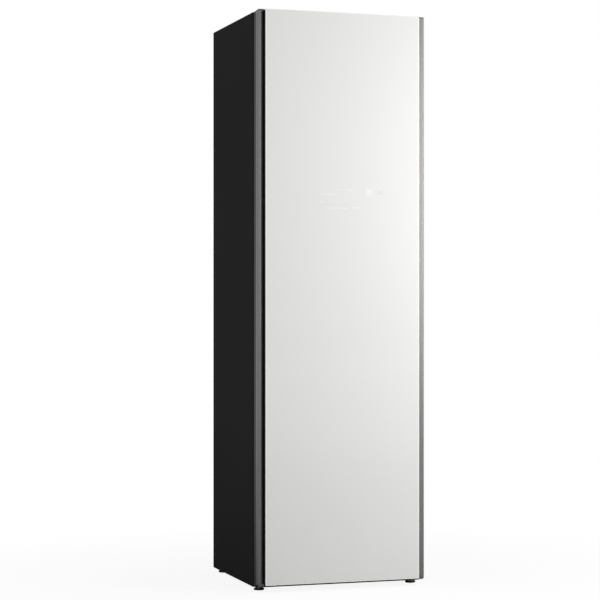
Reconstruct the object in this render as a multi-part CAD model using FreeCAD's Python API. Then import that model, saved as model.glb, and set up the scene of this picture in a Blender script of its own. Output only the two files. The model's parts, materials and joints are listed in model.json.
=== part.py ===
import FreeCAD, Part
import math
import os

# Clothes care steam cabinet. Millimetres, +Z up, +X to the viewer's right, +Y to the back.
# The origin is on the floor under the middle of the cabinet.

V = FreeCAD.Vector

# ---- driving dimensions: the whole cabinet
WIDTH = 600.0
DEPTH = 596.0
HEIGHT = 1960.0
CASE_LOW = 13.5  # underside of the case above the floor
TOP_STEP = 4.0  # the glass stands this much above the case
SHEET = 1.0  # steel skin
LINER = 2.5  # moulded wall of the cabin
FOAM_SIDE = 24.0
FOAM_REAR = 38.0
REAR_RECESS = 2.0  # the back panels lie this deep between the side panels
CABIN_LOW = 460.0  # top of the cabin floor
DRIVE_ROOM = 96.0  # cabin ceiling to the top of the case
SIDE_LIP = 10.0  # inward fold of a side panel's front edge

# ---- clearances
FIT = 0.05  # radial clearance of a running fit
GAP = 0.3  # between faces that lie close
JOINT = 0.2  # between fixed panels that meet edge to edge

# ---- door
GLASS = 4.0
GLASS_LOW = 24.0
GLASS_EDGE = 0.8  # ground edge of the glass
GLASS_INSET = 25.0  # edge of the glass from the side of the case
DOOR_STEP = 1.5  # side of the door inside the side of the case
TRIM_ROUND = 6.0  # outer radius of the side trims
TRIM_EDGE = 2.0  # inner radius of the right trim and the end caps
GRIP_ROUND = 17.0  # radius of the finger scoop in the left trim
GRIP_REACH = 16.0  # start of the scoop from the trim's inner face
TRIM_SETBACK = 12.4  # front of the trim behind the glass face
TRIM_DEPTH = 34.0  # back of the trim behind the glass face
TRIM_WALL = 1.6
END_CAP_HIGH = 6.0
END_CAP_LOW = 10.0
END_CAP_DROP = 4.0  # lower end caps below the glass
END_CAP_HIGH_ROUND = 5.0
END_CAP_LOW_ROUND = 9.0
DOOR_DEPTH = 60.0  # glass face to the back of the door
DOOR_FRAME_LIFT = 1.5  # bottom of the door frame above the case's underside
DOOR_RING = 30.0  # width of the door frame's bars
TRAY_WALL = 2.5
TRAY_DROP = 4.0  # the tray shows this much below the glass
TRAY_TOP_DROP = 2.0
GASKET_WIDTH = 9.0
GASKET_DEPTH = 7.6
GASKET_REST = 0.4  # closed gap between gasket and front rim
GASKET_INSET = 15.0  # outer edge of the gasket from the side of the case
GASKET_END_LOW = 19.5  # outer edge of the gasket above the case's underside
GASKET_END_HIGH = 12.0  # and below the case's top

# ---- display behind the glass
DISPLAY_X = 30.0
DISPLAY_Z = 1320.0
DISPLAY_WIDTH = 250.0
DISPLAY_HEIGHT = 105.0
DISPLAY_BOARD = 1.6
DISPLAY_STANDOFF = 8.0
DISPLAY_POST = 4.0

# ---- hinge
HINGE_INSET = 12.0  # axis from the side of the case
HINGE_BEHIND_TRIM = 10.0  # axis behind the back of the trim
HINGE_PIN = 4.0  # radius
HINGE_PIN_LENGTH = 16.0
HINGE_EYE = 8.0  # radius of the plate round the pin
HINGE_PLATE = 4.0  # thickness
HINGE_NECK = 9.0  # width of the plate where it leaves the case
HINGE_NECK_OFFSET = 10.0  # far side of the neck from the axis
HINGE_REACH = 58.0  # plate's depth inside the case
HINGE_SEAT = 49.0  # plate's width inside the case
HINGE_LOW = 11.0  # underside of the lower plate above the case's underside
HINGE_DROP = 7.0  # underside of the upper plate below the case's top
HINGE_ROOM = 12.0  # notch in the door frame, from the axis towards the middle
NOTCH_GAP = 0.5
BUSH_WALL = 3.0

# ---- front of the case
RIM = 3.0  # thickness of the front rim
RIM_LOW = 15.5  # rim's lower edge above the case's underside
RIM_SILL = 46.5  # bottom of the rim's opening above the case's underside

# ---- base and feet
BASE = 2.0
BASE_FLANGE = 27.0
FOOT_INSET_X = 26.5
FOOT_INSET_FRONT = 18.0
FOOT_INSET_REAR = 45.0
FOOT_RADIUS = 18.0
FOOT_THICK = 6.5
FOOT_HUB = 8.0
FOOT_STEM = 5.0
FOOT_NUT = 7.0
FOOT_NUT_HEIGHT = 8.0

# ---- trouser press on the door
PRESS_LOW = 560.0
PRESS_HIGH = 1480.0
PRESS_HALF = 190.0
PRESS_BOARD = 16.0
PRESS_FLAP = 12.0
PRESS_KNUCKLE = 6.5
PRESS_PIN = 3.0
PRESS_PIN_LENGTH = 12.0
PRESS_EAR = 6.0
PRESS_AXIS_OUT = 5.0  # axis outside the board's edge
PRESS_AXIS_OFF = 7.5  # axis behind the board's face
PRESS_GRIP = 40.0

# ---- cabin fittings
SHELF_LEVEL = 618.0
SHELF_THICK = 10.0
SHELF_FRONT = 50.0  # shelf's front edge behind the front of the case
SHELF_REAR = 16.0  # shelf's rear edge before the rear wall
RAIL_OUT = 12.0
RAIL_HIGH = 12.0
SHELF_SIDE_GAP = 4.5
SHELF_SLOT = 8.0
SHELF_PITCH = 24.0
SHELF_BORDER = 26.0
FILTER_X = -115.0
FILTER_HALF = (100.0, 55.0)
FILTER_DEEP = 20.0
AROMA_X = 115.0
AROMA_HALF = (48.0, 32.0)
AROMA_DEEP = 18.0
FRONT_FITTINGS_Y = 75.0  # filter and cartridge centres behind the front of the case
FITTING_FLANGE = 6.0
FITTING_FLANGE_THICK = 2.0
FITTING_WALL = 2.0
FITTING_GRIP = 9.0
OUTLET_HALF = (105.0, 24.0)
OUTLET_REAR = 45.0  # outlet centre before the cabin's rear wall
OUTLET_BAR = 5.0
OUTLET_PITCH = 15.0
LAMP_HALF = (120.0, 9.0)
LAMP_Y = 40.0
LAMP_DEEP = 5.0

# ---- moving hanger bar and its drive
BAR_DROP = 65.0  # bar's axis under the cabin ceiling
BAR_RADIUS = 8.0
BAR_NECK = 6.5
BAR_NECK_WIDTH = 8.0
BAR_PITCH = 75.0
BAR_PLACES = 5
BAR_HALF = 185.0
ARM_X = 112.5
ARM_THICK = 6.0
ARM_WIDE = 24.0
BAR_TRAVEL = 12.0
ARM_ROOM = 3.0
DRIVE_PLATE = 3.0
ROD_RADIUS = 5.0
ROD_LIFT = 29.0  # guide rods' axis above the cabin ceiling's top
ROD_SPREAD = 35.0
POST_X = 185.0
POST_THICK = 10.0
POST_HALF = 9.0
BLOCK_IN = 100.0
BLOCK_LENGTH = 50.0
BLOCK_HALF = 11.0
CARRIAGE = 4.0
CARRIAGE_RIM = 11.0
CRANK_SETBACK = 90.0  # crank's axis behind the middle of the cabin
CRANK_RADIUS = 24.0
CRANK_PIN = 6.0
CRANK_SLOT_GAP = 0.4
CRANK_SLOT_MORE = 5.0
CRANK_PULLEY = 45.0
CRANK_AXLE = 5.0
MOTOR_X = 130.0
MOTOR_RADIUS = 28.0
MOTOR_HEIGHT = 52.0
MOTOR_SHAFT = 4.0
MOTOR_PULLEY = 14.0
PULLEY_LIFT = 4.0
PULLEY_THICK = 12.0
PULLEY_RIM = 1.5
PULLEY_LIP = 2.0
BELT = 2.0
BELT_SIDE_GAP = 0.8
BRIDGE = 3.0
BRIDGE_HALF = 34.0

# ---- hangers
HANGER_PLACES = (-1, 1)  # places on the bar, counted from the middle
HOOK_THICK = 5.0
HOOK_WALL = 4.2
HOOK_DROP = 20.0
HOOK_FOOT = 6.0
HOOK_TIP = 4.0
STEM_HALF = 4.0
SHOULDER_TOP = 46.0
SHOULDER_HALF = 200.0
SHOULDER_FALL = 62.0
SHOULDER_DEEP = 24.0
SHOULDER_THICK = 26.0
SHOULDER_ROUND = 4.0
SHOULDER_BOW = 11.0
TROUSER_HALF = 150.0
TROUSER_DROP = 150.0
TROUSER_ROD = 4.0
TROUSER_LEG = 5.0

# ---- water tanks and their bay
BAY_LOW = 178.0
BAY_WALL = 3.0
BAY_INSET = 60.0  # bay's side from the side of the case
BAY_DEEP = 172.0
BAY_ROOF = 28.0  # underside of the cabin floor to the bay's roof, the intake channel
DIVIDER = 14.0
TANK_FRONT = 10.0  # tank front behind the front of the case
TANK_WALL = 2.5
TANK_SIDE_GAP = 2.0
TANK_REAR_GAP = 4.0
TANK_TOP_GAP = 4.0
TANK_LID = 2.5
TANK_MOUTH = 68.0
HANDHOLD_HALF = 45.0
HANDHOLD_HIGH = 26.0
HANDHOLD_DROP = 12.0

# ---- air circuit under the cabin
DUCT_LOW = 300.0
DUCT_WALL = 2.5
DUCT_HALF = 120.0
DUCT_REAR = 6.5  # duct's back before the cabin's rear wall
FAN_RADIUS = 60.0
FAN_RING = 3.0
FAN_HUB = 20.0
FAN_BLADES = 9
FAN_BLADE = 2.5
FAN_PITCH = 35.0
FAN_LENGTH = 22.0
FAN_SHROUD_GAP = 1.5
FAN_BLADE_CHORD = 22.0
FAN_MOTOR = 32.0
FAN_MOTOR_LENGTH = 38.0
FAN_SHAFT = 4.0
FAN_START = 8.0  # wheel behind the motor
EXCHANGER_DEEP = 50.0
EXCHANGER_HIGH = 140.0
EVAPORATOR_BEHIND = 40.0
CONDENSER_BEHIND = 20.0
FIN = 1.2
FINS = 16
EXCHANGER_TUBE = 4.0
PORT_LEVELS = (0.3, 0.7)  # shares of the exchanger's height

# ---- machine compartment
COMPRESSOR_INSET = 110.0  # axis from the side of the case
COMPRESSOR_RADIUS = 62.0
COMPRESSOR_HEIGHT = 150.0
COMPRESSOR_FOOT = 18.0
COMPRESSOR_DOME = 26.0
PIPE = 4.0
PIPE_BEND = 22.0
HOSE = 6.0
HOSE_BEND = 30.0
BOILER_WIDE = 134.0
BOILER_DEEP = 125.0
BOILER_HIGH = 110.0
BOILER_SIDE_GAP = 16.0  # from the side of the case
BOILER_REAR_GAP = 61.0  # from the back panels
BOILER_FOOT = 20.0
BOILER_WALL = 2.5
PUMP_SETBACK = 97.0  # axes behind the front of the cabin
PUMP_RADIUS = 28.0
PUMP_HEIGHT = 70.0
BOARD_CASE_WIDE = 149.0
BOARD_CASE_BEHIND = 10.0  # box behind the back of the tank bay
BOARD_CASE_DEEP = 105.0
BOARD_CASE_Z = (290.0, 430.0)
BOARD_CASE_WALL = 2.5
BOARD = 1.6
GLAND_INSET = 75.0  # axis from the side of the case
GLAND_Z = 70.0
GLAND_RADIUS = 8.0
GLAND_FLANGE = 13.0
GLAND_BORE = 4.5
SERVICE_HIGH = 440.0
VENT_HALF = 60.0
VENT_SLOT = 5.0
VENT_PITCH = 16.0
VENTS = 9
VENT_LOW = 130.0
SCREW_HEAD = 4.0
SCREW_HEAD_HIGH = 1.4
SCREW_SHANK = 1.8
SCREW_LENGTH = 8.0
SCREW_INSET = 22.0

# ---- places worked out from the sizes above
SIDE = WIDTH / 2
FRONT = -DEPTH / 2
BACK = DEPTH / 2
CASE_TOP = HEIGHT - TOP_STEP
TRIM_BACK = FRONT + TRIM_DEPTH
DOOR_BACK = FRONT + DOOR_DEPTH
CASE_FRONT = DOOR_BACK + GASKET_DEPTH + GASKET_REST
PANEL_BACK = BACK - REAR_RECESS
SKIN = SIDE - SHEET
DOOR_HALF = SIDE - DOOR_STEP
GLASS_HALF = SIDE - GLASS_INSET
TRIM_IN = GLASS_HALF + GAP
TRIM_LOW = GLASS_LOW - END_CAP_DROP + END_CAP_LOW
CABIN_HALF = SKIN - FOAM_SIDE - LINER
CABIN_FRONT = CASE_FRONT + RIM
CABIN_BACK = PANEL_BACK - SHEET - FOAM_REAR - LINER
CABIN_Y = (CASE_FRONT + CABIN_BACK) / 2
CABIN_HIGH = CASE_TOP - DRIVE_ROOM
CEILING_TOP = CABIN_HIGH + LINER
FLOOR_UNDER = CABIN_LOW - LINER
BASE_TOP = CASE_LOW + BASE
RIM_FOOT = CASE_LOW + RIM_LOW
RIM_OPEN = CASE_LOW + RIM_SILL
RIM_TOP = CASE_TOP - HINGE_DROP
HINGE_X = SIDE - HINGE_INSET
HINGE_Y = TRIM_BACK + HINGE_BEHIND_TRIM
DOOR_LOW = CASE_LOW + DOOR_FRAME_LIFT
BAR_Z = CABIN_HIGH - BAR_DROP
ROD_Z = CEILING_TOP + ROD_LIFT
CARRIAGE_LOW = ROD_Z + BLOCK_HALF
CRANK_Y = CABIN_Y + CRANK_SETBACK
DRIVE_TOP = CEILING_TOP + DRIVE_PLATE
PULLEY_LOW = DRIVE_TOP + PULLEY_LIFT
BRIDGE_LOW = PULLEY_LOW + PULLEY_THICK + 2 * GAP
BAY_HALF = SIDE - BAY_INSET
BAY_BACK = CABIN_FRONT + BAY_DEEP
BAY_ROOF_LOW = FLOOR_UNDER - BAY_ROOF
BAY_ROOF_TOP = BAY_ROOF_LOW + BAY_WALL
TANK_LOW = BAY_LOW + BAY_WALL + GAP
TANK_HIGH = BAY_ROOF_LOW - TANK_TOP_GAP
TANK_Y = CASE_FRONT + TANK_FRONT
TANK_BACK = BAY_BACK - BAY_WALL - TANK_REAR_GAP
TANK_IN = DIVIDER / 2 + TANK_SIDE_GAP
TANK_OUT = BAY_HALF - BAY_WALL - TANK_SIDE_GAP
CHANNEL_HALF = DUCT_HALF - DUCT_WALL
DUCT_FRONT = BAY_BACK
DUCT_BACK = CABIN_BACK - DUCT_REAR
FAN_Z = (DUCT_LOW + FLOOR_UNDER) / 2
FAN_Y = DUCT_FRONT + DUCT_WALL + FAN_MOTOR_LENGTH + FAN_START
EVAPORATOR_Y = FAN_Y + FAN_LENGTH + EVAPORATOR_BEHIND
CONDENSER_Y = EVAPORATOR_Y + EXCHANGER_DEEP + CONDENSER_BEHIND
EXCHANGER_HALF = DUCT_HALF - DUCT_WALL - GAP
COMPRESSOR_X = SIDE - COMPRESSOR_INSET
COMPRESSOR_Y = CONDENSER_Y + EXCHANGER_DEEP / 2
BOILER_X = (BOILER_SIDE_GAP - SIDE, BOILER_SIDE_GAP - SIDE + BOILER_WIDE)
BOILER_Y = (PANEL_BACK - BOILER_REAR_GAP - BOILER_DEEP, PANEL_BACK - BOILER_REAR_GAP)
BOILER_LOW = BASE_TOP + BOILER_FOOT
PUMP_X = BAY_HALF / 2
PUMP_Y = CABIN_FRONT + PUMP_SETBACK
GLAND_X = SIDE - GLAND_INSET
FITTING_Y = CASE_FRONT + FRONT_FITTINGS_Y
OUTLET_Y = CABIN_BACK - OUTLET_REAR


# ---- shape helpers
def mid(half):
    return -half, half


def about(centre, half):
    return centre - half, centre + half


def block(x, y, z):
    """Box from its low and high value on each axis."""
    return Part.makeBox(x[1] - x[0], y[1] - y[0], z[1] - z[0], V(x[0], y[0], z[0]))


def rod(radius, start, end):
    """Round bar from one point to another."""
    start, end = V(*start), V(*end)
    return Part.makeCylinder(radius, start.distanceToPoint(end), start, end - start)


def join(first, *others):
    return first.fuse(list(others)).removeSplitter() if others else first


def cut(body, *tools):
    return body.cut(list(tools))


def group(*solids):
    return Part.makeCompound(list(solids))


def mirrored(shape):
    """The same shape on the other side of the middle plane."""
    return shape.mirror(V(0, 0, 0), V(1, 0, 0))


def edges_along(shape, axis, test):
    """Straight edges of a shape that run along an axis and whose middle passes a test."""
    found = []
    for edge in shape.Edges:
        a, b = edge.Vertexes[0].Point, edge.Vertexes[-1].Point
        if (b - a).Length and abs((b - a).normalize().dot(V(*axis))) > 0.999:
            if test((a + b) * 0.5):
                found.append(edge)
    return found


def outline(*edges):
    return Part.Face(Part.Wire(list(edges)))


def line(a, b):
    return Part.LineSegment(V(*a), V(*b)).toShape()


def arc(a, through, b):
    return Part.Arc(V(*a), V(*through), V(*b)).toShape()


def polygon(points):
    return Part.Face(Part.makePolygon([V(*p) for p in points + points[:1]]))


def bent_tube(points, radius, bend):
    """Tube along straight runs that are joined by tangent arcs."""
    points = [V(*p) for p in points]
    edges, start = [], points[0]
    for before, corner, after in zip(points, points[1:], points[2:]):
        back = (before - corner).normalize()
        onward = (after - corner).normalize()
        half = back.getAngle(onward) / 2
        reach = bend / math.tan(half)
        inward = (back + onward).normalize() * (bend / math.sin(half) - bend)
        first, last = corner + back * reach, corner + onward * reach
        edges.append(Part.LineSegment(start, first).toShape())
        edges.append(Part.Arc(first, corner + inward, last).toShape())
        start = last
    edges.append(Part.LineSegment(start, points[-1]).toShape())
    ring = Part.Wire([Part.makeCircle(radius, points[0], points[1] - points[0])])
    return Part.Wire(edges).makePipeShell([ring], True, True)


# ---- door
def trim_section(radius, reach, inset):
    """Plan outline of a trim on the right. An arc that starts at reach ends the front at the glass."""
    out, back, lip = DOOR_HALF - inset, TRIM_BACK - inset, FRONT + TRIM_SETBACK + inset
    inner, start = TRIM_IN + inset, TRIM_IN + reach
    outer_round, arc_radius = TRIM_ROUND - inset, radius - inset
    slant = 1 - math.sqrt(0.5)

    def on_arc(turn):
        return (start - arc_radius * math.sin(turn), lip + arc_radius * (1 - math.cos(turn)), 0)

    end = math.asin((reach - inset) / arc_radius)
    return outline(
        line((out, back, 0), (out, lip + outer_round, 0)),
        arc(
            (out, lip + outer_round, 0),
            (out - outer_round * slant, lip + outer_round * slant, 0),
            (out - outer_round, lip, 0),
        ),
        line((out - outer_round, lip, 0), (start, lip, 0)),
        arc((start, lip, 0), on_arc(end / 2), on_arc(end)),
        line(on_arc(end), (inner, back, 0)),
        line((inner, back, 0), (out, back, 0)),
    )


def raised(face, z):
    """A plan outline pushed up from z[0] to z[1]."""
    return face.translated(V(0, 0, z[0])).extrude(V(0, 0, z[1] - z[0]))


def door_glass():
    slab = block(mid(GLASS_HALF), (FRONT, FRONT + GLASS), (GLASS_LOW, HEIGHT))
    front = [e for e in slab.Edges if abs(e.BoundBox.YMax - FRONT) < 1e-6]
    return slab.makeChamfer(GLASS_EDGE, front)


def side_trim(radius, reach):
    """Hollow extrusion along the right side of the door."""
    z = (TRIM_LOW, HEIGHT - END_CAP_HIGH)
    return cut(
        raised(trim_section(radius, reach, 0), z), raised(trim_section(radius, reach, TRIM_WALL), z)
    )


def end_caps():
    """Plugs on the trims' ends, which also close the finger scoop. Their outer corners are round."""
    low, high = TRIM_LOW - END_CAP_LOW, HEIGHT - END_CAP_HIGH
    corner = block((TRIM_IN, DOOR_HALF), (FRONT, TRIM_BACK), (low, HEIGHT))
    edge = edges_along(corner, (0, 1, 0), lambda p: p.x > TRIM_IN and p.z > high)
    corner = corner.makeFillet(END_CAP_HIGH_ROUND, edge)
    edge = edges_along(corner, (0, 1, 0), lambda p: p.x > TRIM_IN and p.z < TRIM_LOW)
    corner = corner.makeFillet(END_CAP_LOW_ROUND, edge)
    section = trim_section(TRIM_EDGE, TRIM_EDGE, 0)
    upper = raised(section, (high, HEIGHT)).common(corner)
    lower = raised(section, (low, TRIM_LOW)).common(corner)
    return group(upper, lower, mirrored(upper), mirrored(lower))


def door_tray():
    """Shallow moulded tray behind the glass, with a window for the display."""
    z = (GLASS_LOW - TRAY_DROP, HEIGHT - TRAY_TOP_DROP)
    shell = block(mid(GLASS_HALF), (FRONT + GLASS, TRIM_BACK), z)
    inside = block(
        mid(GLASS_HALF - TRAY_WALL),
        (FRONT + GLASS + TRAY_WALL, TRIM_BACK),
        (z[0] + TRAY_WALL, z[1] - TRAY_WALL),
    )
    window = block(
        about(DISPLAY_X, DISPLAY_WIDTH / 2),
        (FRONT + GLASS, FRONT + GLASS + TRAY_WALL),
        about(DISPLAY_Z, DISPLAY_HEIGHT / 2),
    )
    return cut(shell, inside, window)


def display_board():
    """Touch and lamp board on four posts behind the tray's window."""
    face = FRONT + GLASS + TRAY_WALL
    x, z = DISPLAY_WIDTH / 2 + 2 * DISPLAY_POST, DISPLAY_HEIGHT / 2 + 2 * DISPLAY_POST
    board = block(
        about(DISPLAY_X, x),
        (face + DISPLAY_STANDOFF, face + DISPLAY_STANDOFF + DISPLAY_BOARD),
        about(DISPLAY_Z, z),
    )
    posts = [
        rod(
            DISPLAY_POST / 2,
            (DISPLAY_X + sx * (x - DISPLAY_POST), face, DISPLAY_Z + sz * (z - DISPLAY_POST)),
            (
                DISPLAY_X + sx * (x - DISPLAY_POST),
                face + DISPLAY_STANDOFF,
                DISPLAY_Z + sz * (z - DISPLAY_POST),
            ),
        )
        for sx in (-1, 1)
        for sz in (-1, 1)
    ]
    return join(board, *posts)


def hinge_notch(z):
    return block((HINGE_X - HINGE_ROOM, SIDE), (TRIM_BACK, DOOR_BACK), z)


def hinge_levels():
    """Underside of the lower and of the upper hinge plate."""
    return CASE_LOW + HINGE_LOW, CASE_TOP - HINGE_DROP


def bush_levels():
    """Ends of the lower and of the upper hinge bush."""
    low, high = hinge_levels()
    low_start = low + HINGE_PLATE + NOTCH_GAP
    high_end = high - NOTCH_GAP
    return (low_start, low_start + HINGE_PIN_LENGTH), (high_end - HINGE_PIN_LENGTH, high_end)


def door_frame():
    """Four bars round the door, notched and bored at the two hinges."""
    y = (TRIM_BACK, DOOR_BACK)
    ring = cut(
        block(mid(DOOR_HALF), y, (DOOR_LOW, CASE_TOP)),
        block(mid(SIDE - DOOR_RING), y, (DOOR_LOW + DOOR_RING, CASE_TOP - DOOR_RING)),
    )
    low, high = bush_levels()
    notches = (hinge_notch((DOOR_LOW, low[0])), hinge_notch((high[1], CASE_TOP)))
    pockets = [
        rod(HINGE_PIN + FIT + BUSH_WALL, (HINGE_X, HINGE_Y, z[0]), (HINGE_X, HINGE_Y, z[1]))
        for z in (low, high)
    ]
    return cut(ring, *notches, *pockets)


def hinge_bushes():
    bushes = []
    for z in bush_levels():
        ends = (HINGE_X, HINGE_Y, z[0]), (HINGE_X, HINGE_Y, z[1])
        bushes.append(cut(rod(HINGE_PIN + FIT + BUSH_WALL, *ends), rod(HINGE_PIN + FIT, *ends)))
    return group(*bushes)


def liner_y():
    return DOOR_BACK - LINER, DOOR_BACK


def door_liner():
    z = (DOOR_LOW + DOOR_RING + GAP, CASE_TOP - DOOR_RING - GAP)
    return block(mid(SIDE - DOOR_RING - GAP), liner_y(), z)


def door_insulation():
    """Foam that fills the tray and the frame, with a pocket for the display board."""
    x = mid(SIDE - DOOR_RING - GAP)
    z = (DOOR_LOW + DOOR_RING + GAP, CASE_TOP - DOOR_RING - GAP)
    face = FRONT + GLASS + TRAY_WALL
    pocket = block(
        about(DISPLAY_X, DISPLAY_WIDTH / 2 + 2 * DISPLAY_POST + GAP),
        (face, face + DISPLAY_STANDOFF + DISPLAY_BOARD + GAP),
        about(DISPLAY_Z, DISPLAY_HEIGHT / 2 + 2 * DISPLAY_POST + GAP),
    )
    return cut(block(x, (face, liner_y()[0]), z), pocket)


def door_gasket():
    """Magnetic seal on the back of the door frame."""
    y = (DOOR_BACK, DOOR_BACK + GASKET_DEPTH)
    low, high = CASE_LOW + GASKET_END_LOW, CASE_TOP - GASKET_END_HIGH
    outer = block(mid(SIDE - GASKET_INSET), y, (low, high))
    inner = block(
        mid(SIDE - GASKET_INSET - GASKET_WIDTH), y, (low + GASKET_WIDTH, high - GASKET_WIDTH)
    )
    return cut(outer, inner)


# ---- trouser press on the back of the door
def press_axis():
    return PRESS_HALF + PRESS_AXIS_OUT, DOOR_BACK + PRESS_BOARD + PRESS_AXIS_OFF


def press_board():
    """Padded back plate with two ears that carry the flap's pins."""
    x, y = press_axis()
    board = block(mid(PRESS_HALF), (DOOR_BACK, DOOR_BACK + PRESS_BOARD), (PRESS_LOW, PRESS_HIGH))
    pieces = []
    for start, away in ((PRESS_LOW, 1), (PRESS_HIGH, -1)):
        ear = sorted((start - away * PRESS_EAR, start))
        pieces.append(
            block((x - 2 * PRESS_KNUCKLE, x + PRESS_KNUCKLE), (DOOR_BACK, y + PRESS_KNUCKLE), ear)
        )
        pieces.append(rod(PRESS_PIN, (x, y, start), (x, y, start + away * PRESS_PIN_LENGTH)))
    return join(board, *pieces)


def press_flap():
    """Pressing plate hung on the ears at the board's right edge."""
    x, y = press_axis()
    low, high = PRESS_LOW + GAP, PRESS_HIGH - GAP
    face = DOOR_BACK + PRESS_BOARD + GAP
    plate = block((-PRESS_HALF, x), (face, face + PRESS_FLAP), (low, high))
    corner = block((x - PRESS_AXIS_OUT, x), (face, y - PRESS_KNUCKLE), (low, high))
    knuckle = rod(PRESS_KNUCKLE, (x, y, low), (x, y, high))
    deep = PRESS_PIN_LENGTH + GAP
    bores = [
        rod(PRESS_PIN + FIT, (x, y, low), (x, y, low + deep)),
        rod(PRESS_PIN + FIT, (x, y, high - deep), (x, y, high)),
    ]
    grip = block(
        (-PRESS_HALF, -PRESS_HALF + PRESS_FLAP),
        (face, face + PRESS_FLAP / 2),
        about((low + high) / 2, PRESS_GRIP),
    )
    return cut(join(cut(plate, corner), knuckle), *bores, grip)


# ---- case
def side_panel():
    """Right outer skin with its front edge turned in."""
    skin = block((SKIN, SIDE), (CASE_FRONT, BACK), (CASE_LOW, CASE_TOP))
    turn = block((SIDE - SIDE_LIP, SIDE), (CASE_FRONT, CASE_FRONT + SHEET), (CASE_LOW, CASE_TOP))
    return join(skin, turn)


def top_panel():
    top = block(mid(SKIN), (CASE_FRONT + SHEET, PANEL_BACK), (CASE_TOP - SHEET, CASE_TOP))
    lip = block(
        (-SIDE + SIDE_LIP + JOINT, HINGE_X - HINGE_ROOM),
        (CASE_FRONT, CASE_FRONT + SHEET),
        (RIM_TOP + JOINT, CASE_TOP),
    )
    return join(top, lip)


def front_rim():
    """Steel frame that the door's seal closes on."""
    y = (CASE_FRONT, CABIN_FRONT)
    outer = block(mid(SIDE - SIDE_LIP - JOINT), y, (RIM_FOOT, RIM_TOP))
    return cut(outer, block(mid(CABIN_HALF), y, (RIM_OPEN, CABIN_HIGH)))


def foot_places(y):
    return [(side * (SIDE - FOOT_INSET_X), y) for side in (-1, 1)]


def all_foot_places():
    return foot_places(CASE_FRONT + FOOT_INSET_FRONT) + foot_places(BACK - FOOT_INSET_REAR)


def base_frame():
    """Pressed base with turned-up edges, nuts for the feet and a rest for the lower hinge."""
    front, back = CASE_FRONT + SHEET, PANEL_BACK - SHEET
    plate = block(mid(SKIN), (front, back), (CASE_LOW, BASE_TOP))
    sides = [
        block(x, (front, back), (CASE_LOW, CASE_LOW + BASE_FLANGE))
        for x in ((SKIN - BASE, SKIN), (-SKIN, BASE - SKIN))
    ]
    front_lip = block(mid(SKIN), (front, front + BASE), (CASE_LOW, BASE_TOP + FOOT_NUT_HEIGHT))
    back_lip = block(mid(SKIN), (back - BASE, back), (CASE_LOW, CASE_LOW + BASE_FLANGE))
    hinge_rest = block(
        (SKIN - BASE - HINGE_SEAT, SKIN - BASE - HINGE_SEAT + 2 * FOOT_NUT),
        (CABIN_FRONT + HINGE_REACH - 2 * FOOT_NUT, CABIN_FRONT + HINGE_REACH),
        (BASE_TOP, hinge_levels()[0]),
    )
    nuts, bores = [], []
    for x, y in all_foot_places():
        top = BASE_TOP + FOOT_NUT_HEIGHT
        nuts.append(rod(FOOT_NUT, (x, y, CASE_LOW), (x, y, top)))
        bores.append(rod(FOOT_STEM + FIT, (x, y, CASE_LOW), (x, y, top)))
    return cut(join(plate, *sides, front_lip, back_lip, hinge_rest, *nuts), *bores)


def levelling_foot(place):
    """Round pad, hexagonal hub and threaded stem."""
    x, y = place
    pad = rod(FOOT_RADIUS, (x, y, 0), (x, y, FOOT_THICK))
    pad = pad.makeChamfer(FOOT_THICK / 5, [e for e in pad.Edges if e.Closed])
    corners = [
        (x + FOOT_HUB * math.cos(k * math.pi / 3), y + FOOT_HUB * math.sin(k * math.pi / 3), 0)
        for k in range(6)
    ]
    hub = raised(polygon(corners), (FOOT_THICK, CASE_LOW - GAP))
    stem = rod(FOOT_STEM, (x, y, CASE_LOW - GAP), (x, y, BASE_TOP + FOOT_NUT_HEIGHT))
    return join(pad, hub, stem)


def hinge_plates():
    """Two plates that reach forward out of the case, each with a riveted pin."""
    plates = []
    low, high = hinge_levels()
    for z, pin, right in (
        ((low, low + HINGE_PLATE), HINGE_PIN_LENGTH, SKIN - BASE),
        ((high, high + HINGE_PLATE), -HINGE_PIN_LENGTH, SKIN),
    ):
        neck_x = (HINGE_X - HINGE_NECK_OFFSET, HINGE_X - HINGE_NECK_OFFSET + HINGE_NECK)
        eye = rod(HINGE_EYE, (HINGE_X, HINGE_Y, z[0]), (HINGE_X, HINGE_Y, z[1]))
        neck = block(neck_x, (HINGE_Y, CABIN_FRONT + HINGE_REACH), z)
        seat = block((right - HINGE_SEAT, right), (CABIN_FRONT, CABIN_FRONT + HINGE_REACH), z)
        start = z[1] if pin > 0 else z[0]
        shaft = rod(HINGE_PIN, (HINGE_X, HINGE_Y, start), (HINGE_X, HINGE_Y, start + pin))
        plates.append(join(eye, neck, seat, shaft))
    return group(*plates)


def back_panel():
    """Upper back of the case, above the service cover."""
    z = (CASE_LOW + SERVICE_HIGH + JOINT, CASE_TOP - SHEET)
    return block(mid(SKIN), (PANEL_BACK - SHEET, PANEL_BACK), z)


def service_cover():
    """Removable lower back with vents and the hole for the mains lead's gland."""
    y = (PANEL_BACK - SHEET, PANEL_BACK)
    slots = [
        block(mid(VENT_HALF), y, about(VENT_LOW + k * VENT_PITCH, VENT_SLOT / 2))
        for k in range(VENTS)
    ]
    hole = rod(GLAND_RADIUS, (GLAND_X, y[0], GLAND_Z), (GLAND_X, y[1], GLAND_Z))
    cover = block(mid(SKIN), y, (CASE_LOW, CASE_LOW + SERVICE_HIGH))
    return cut(cover, hole, *slots, *[screw_hole(place) for place in cover_screw_places()])


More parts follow.
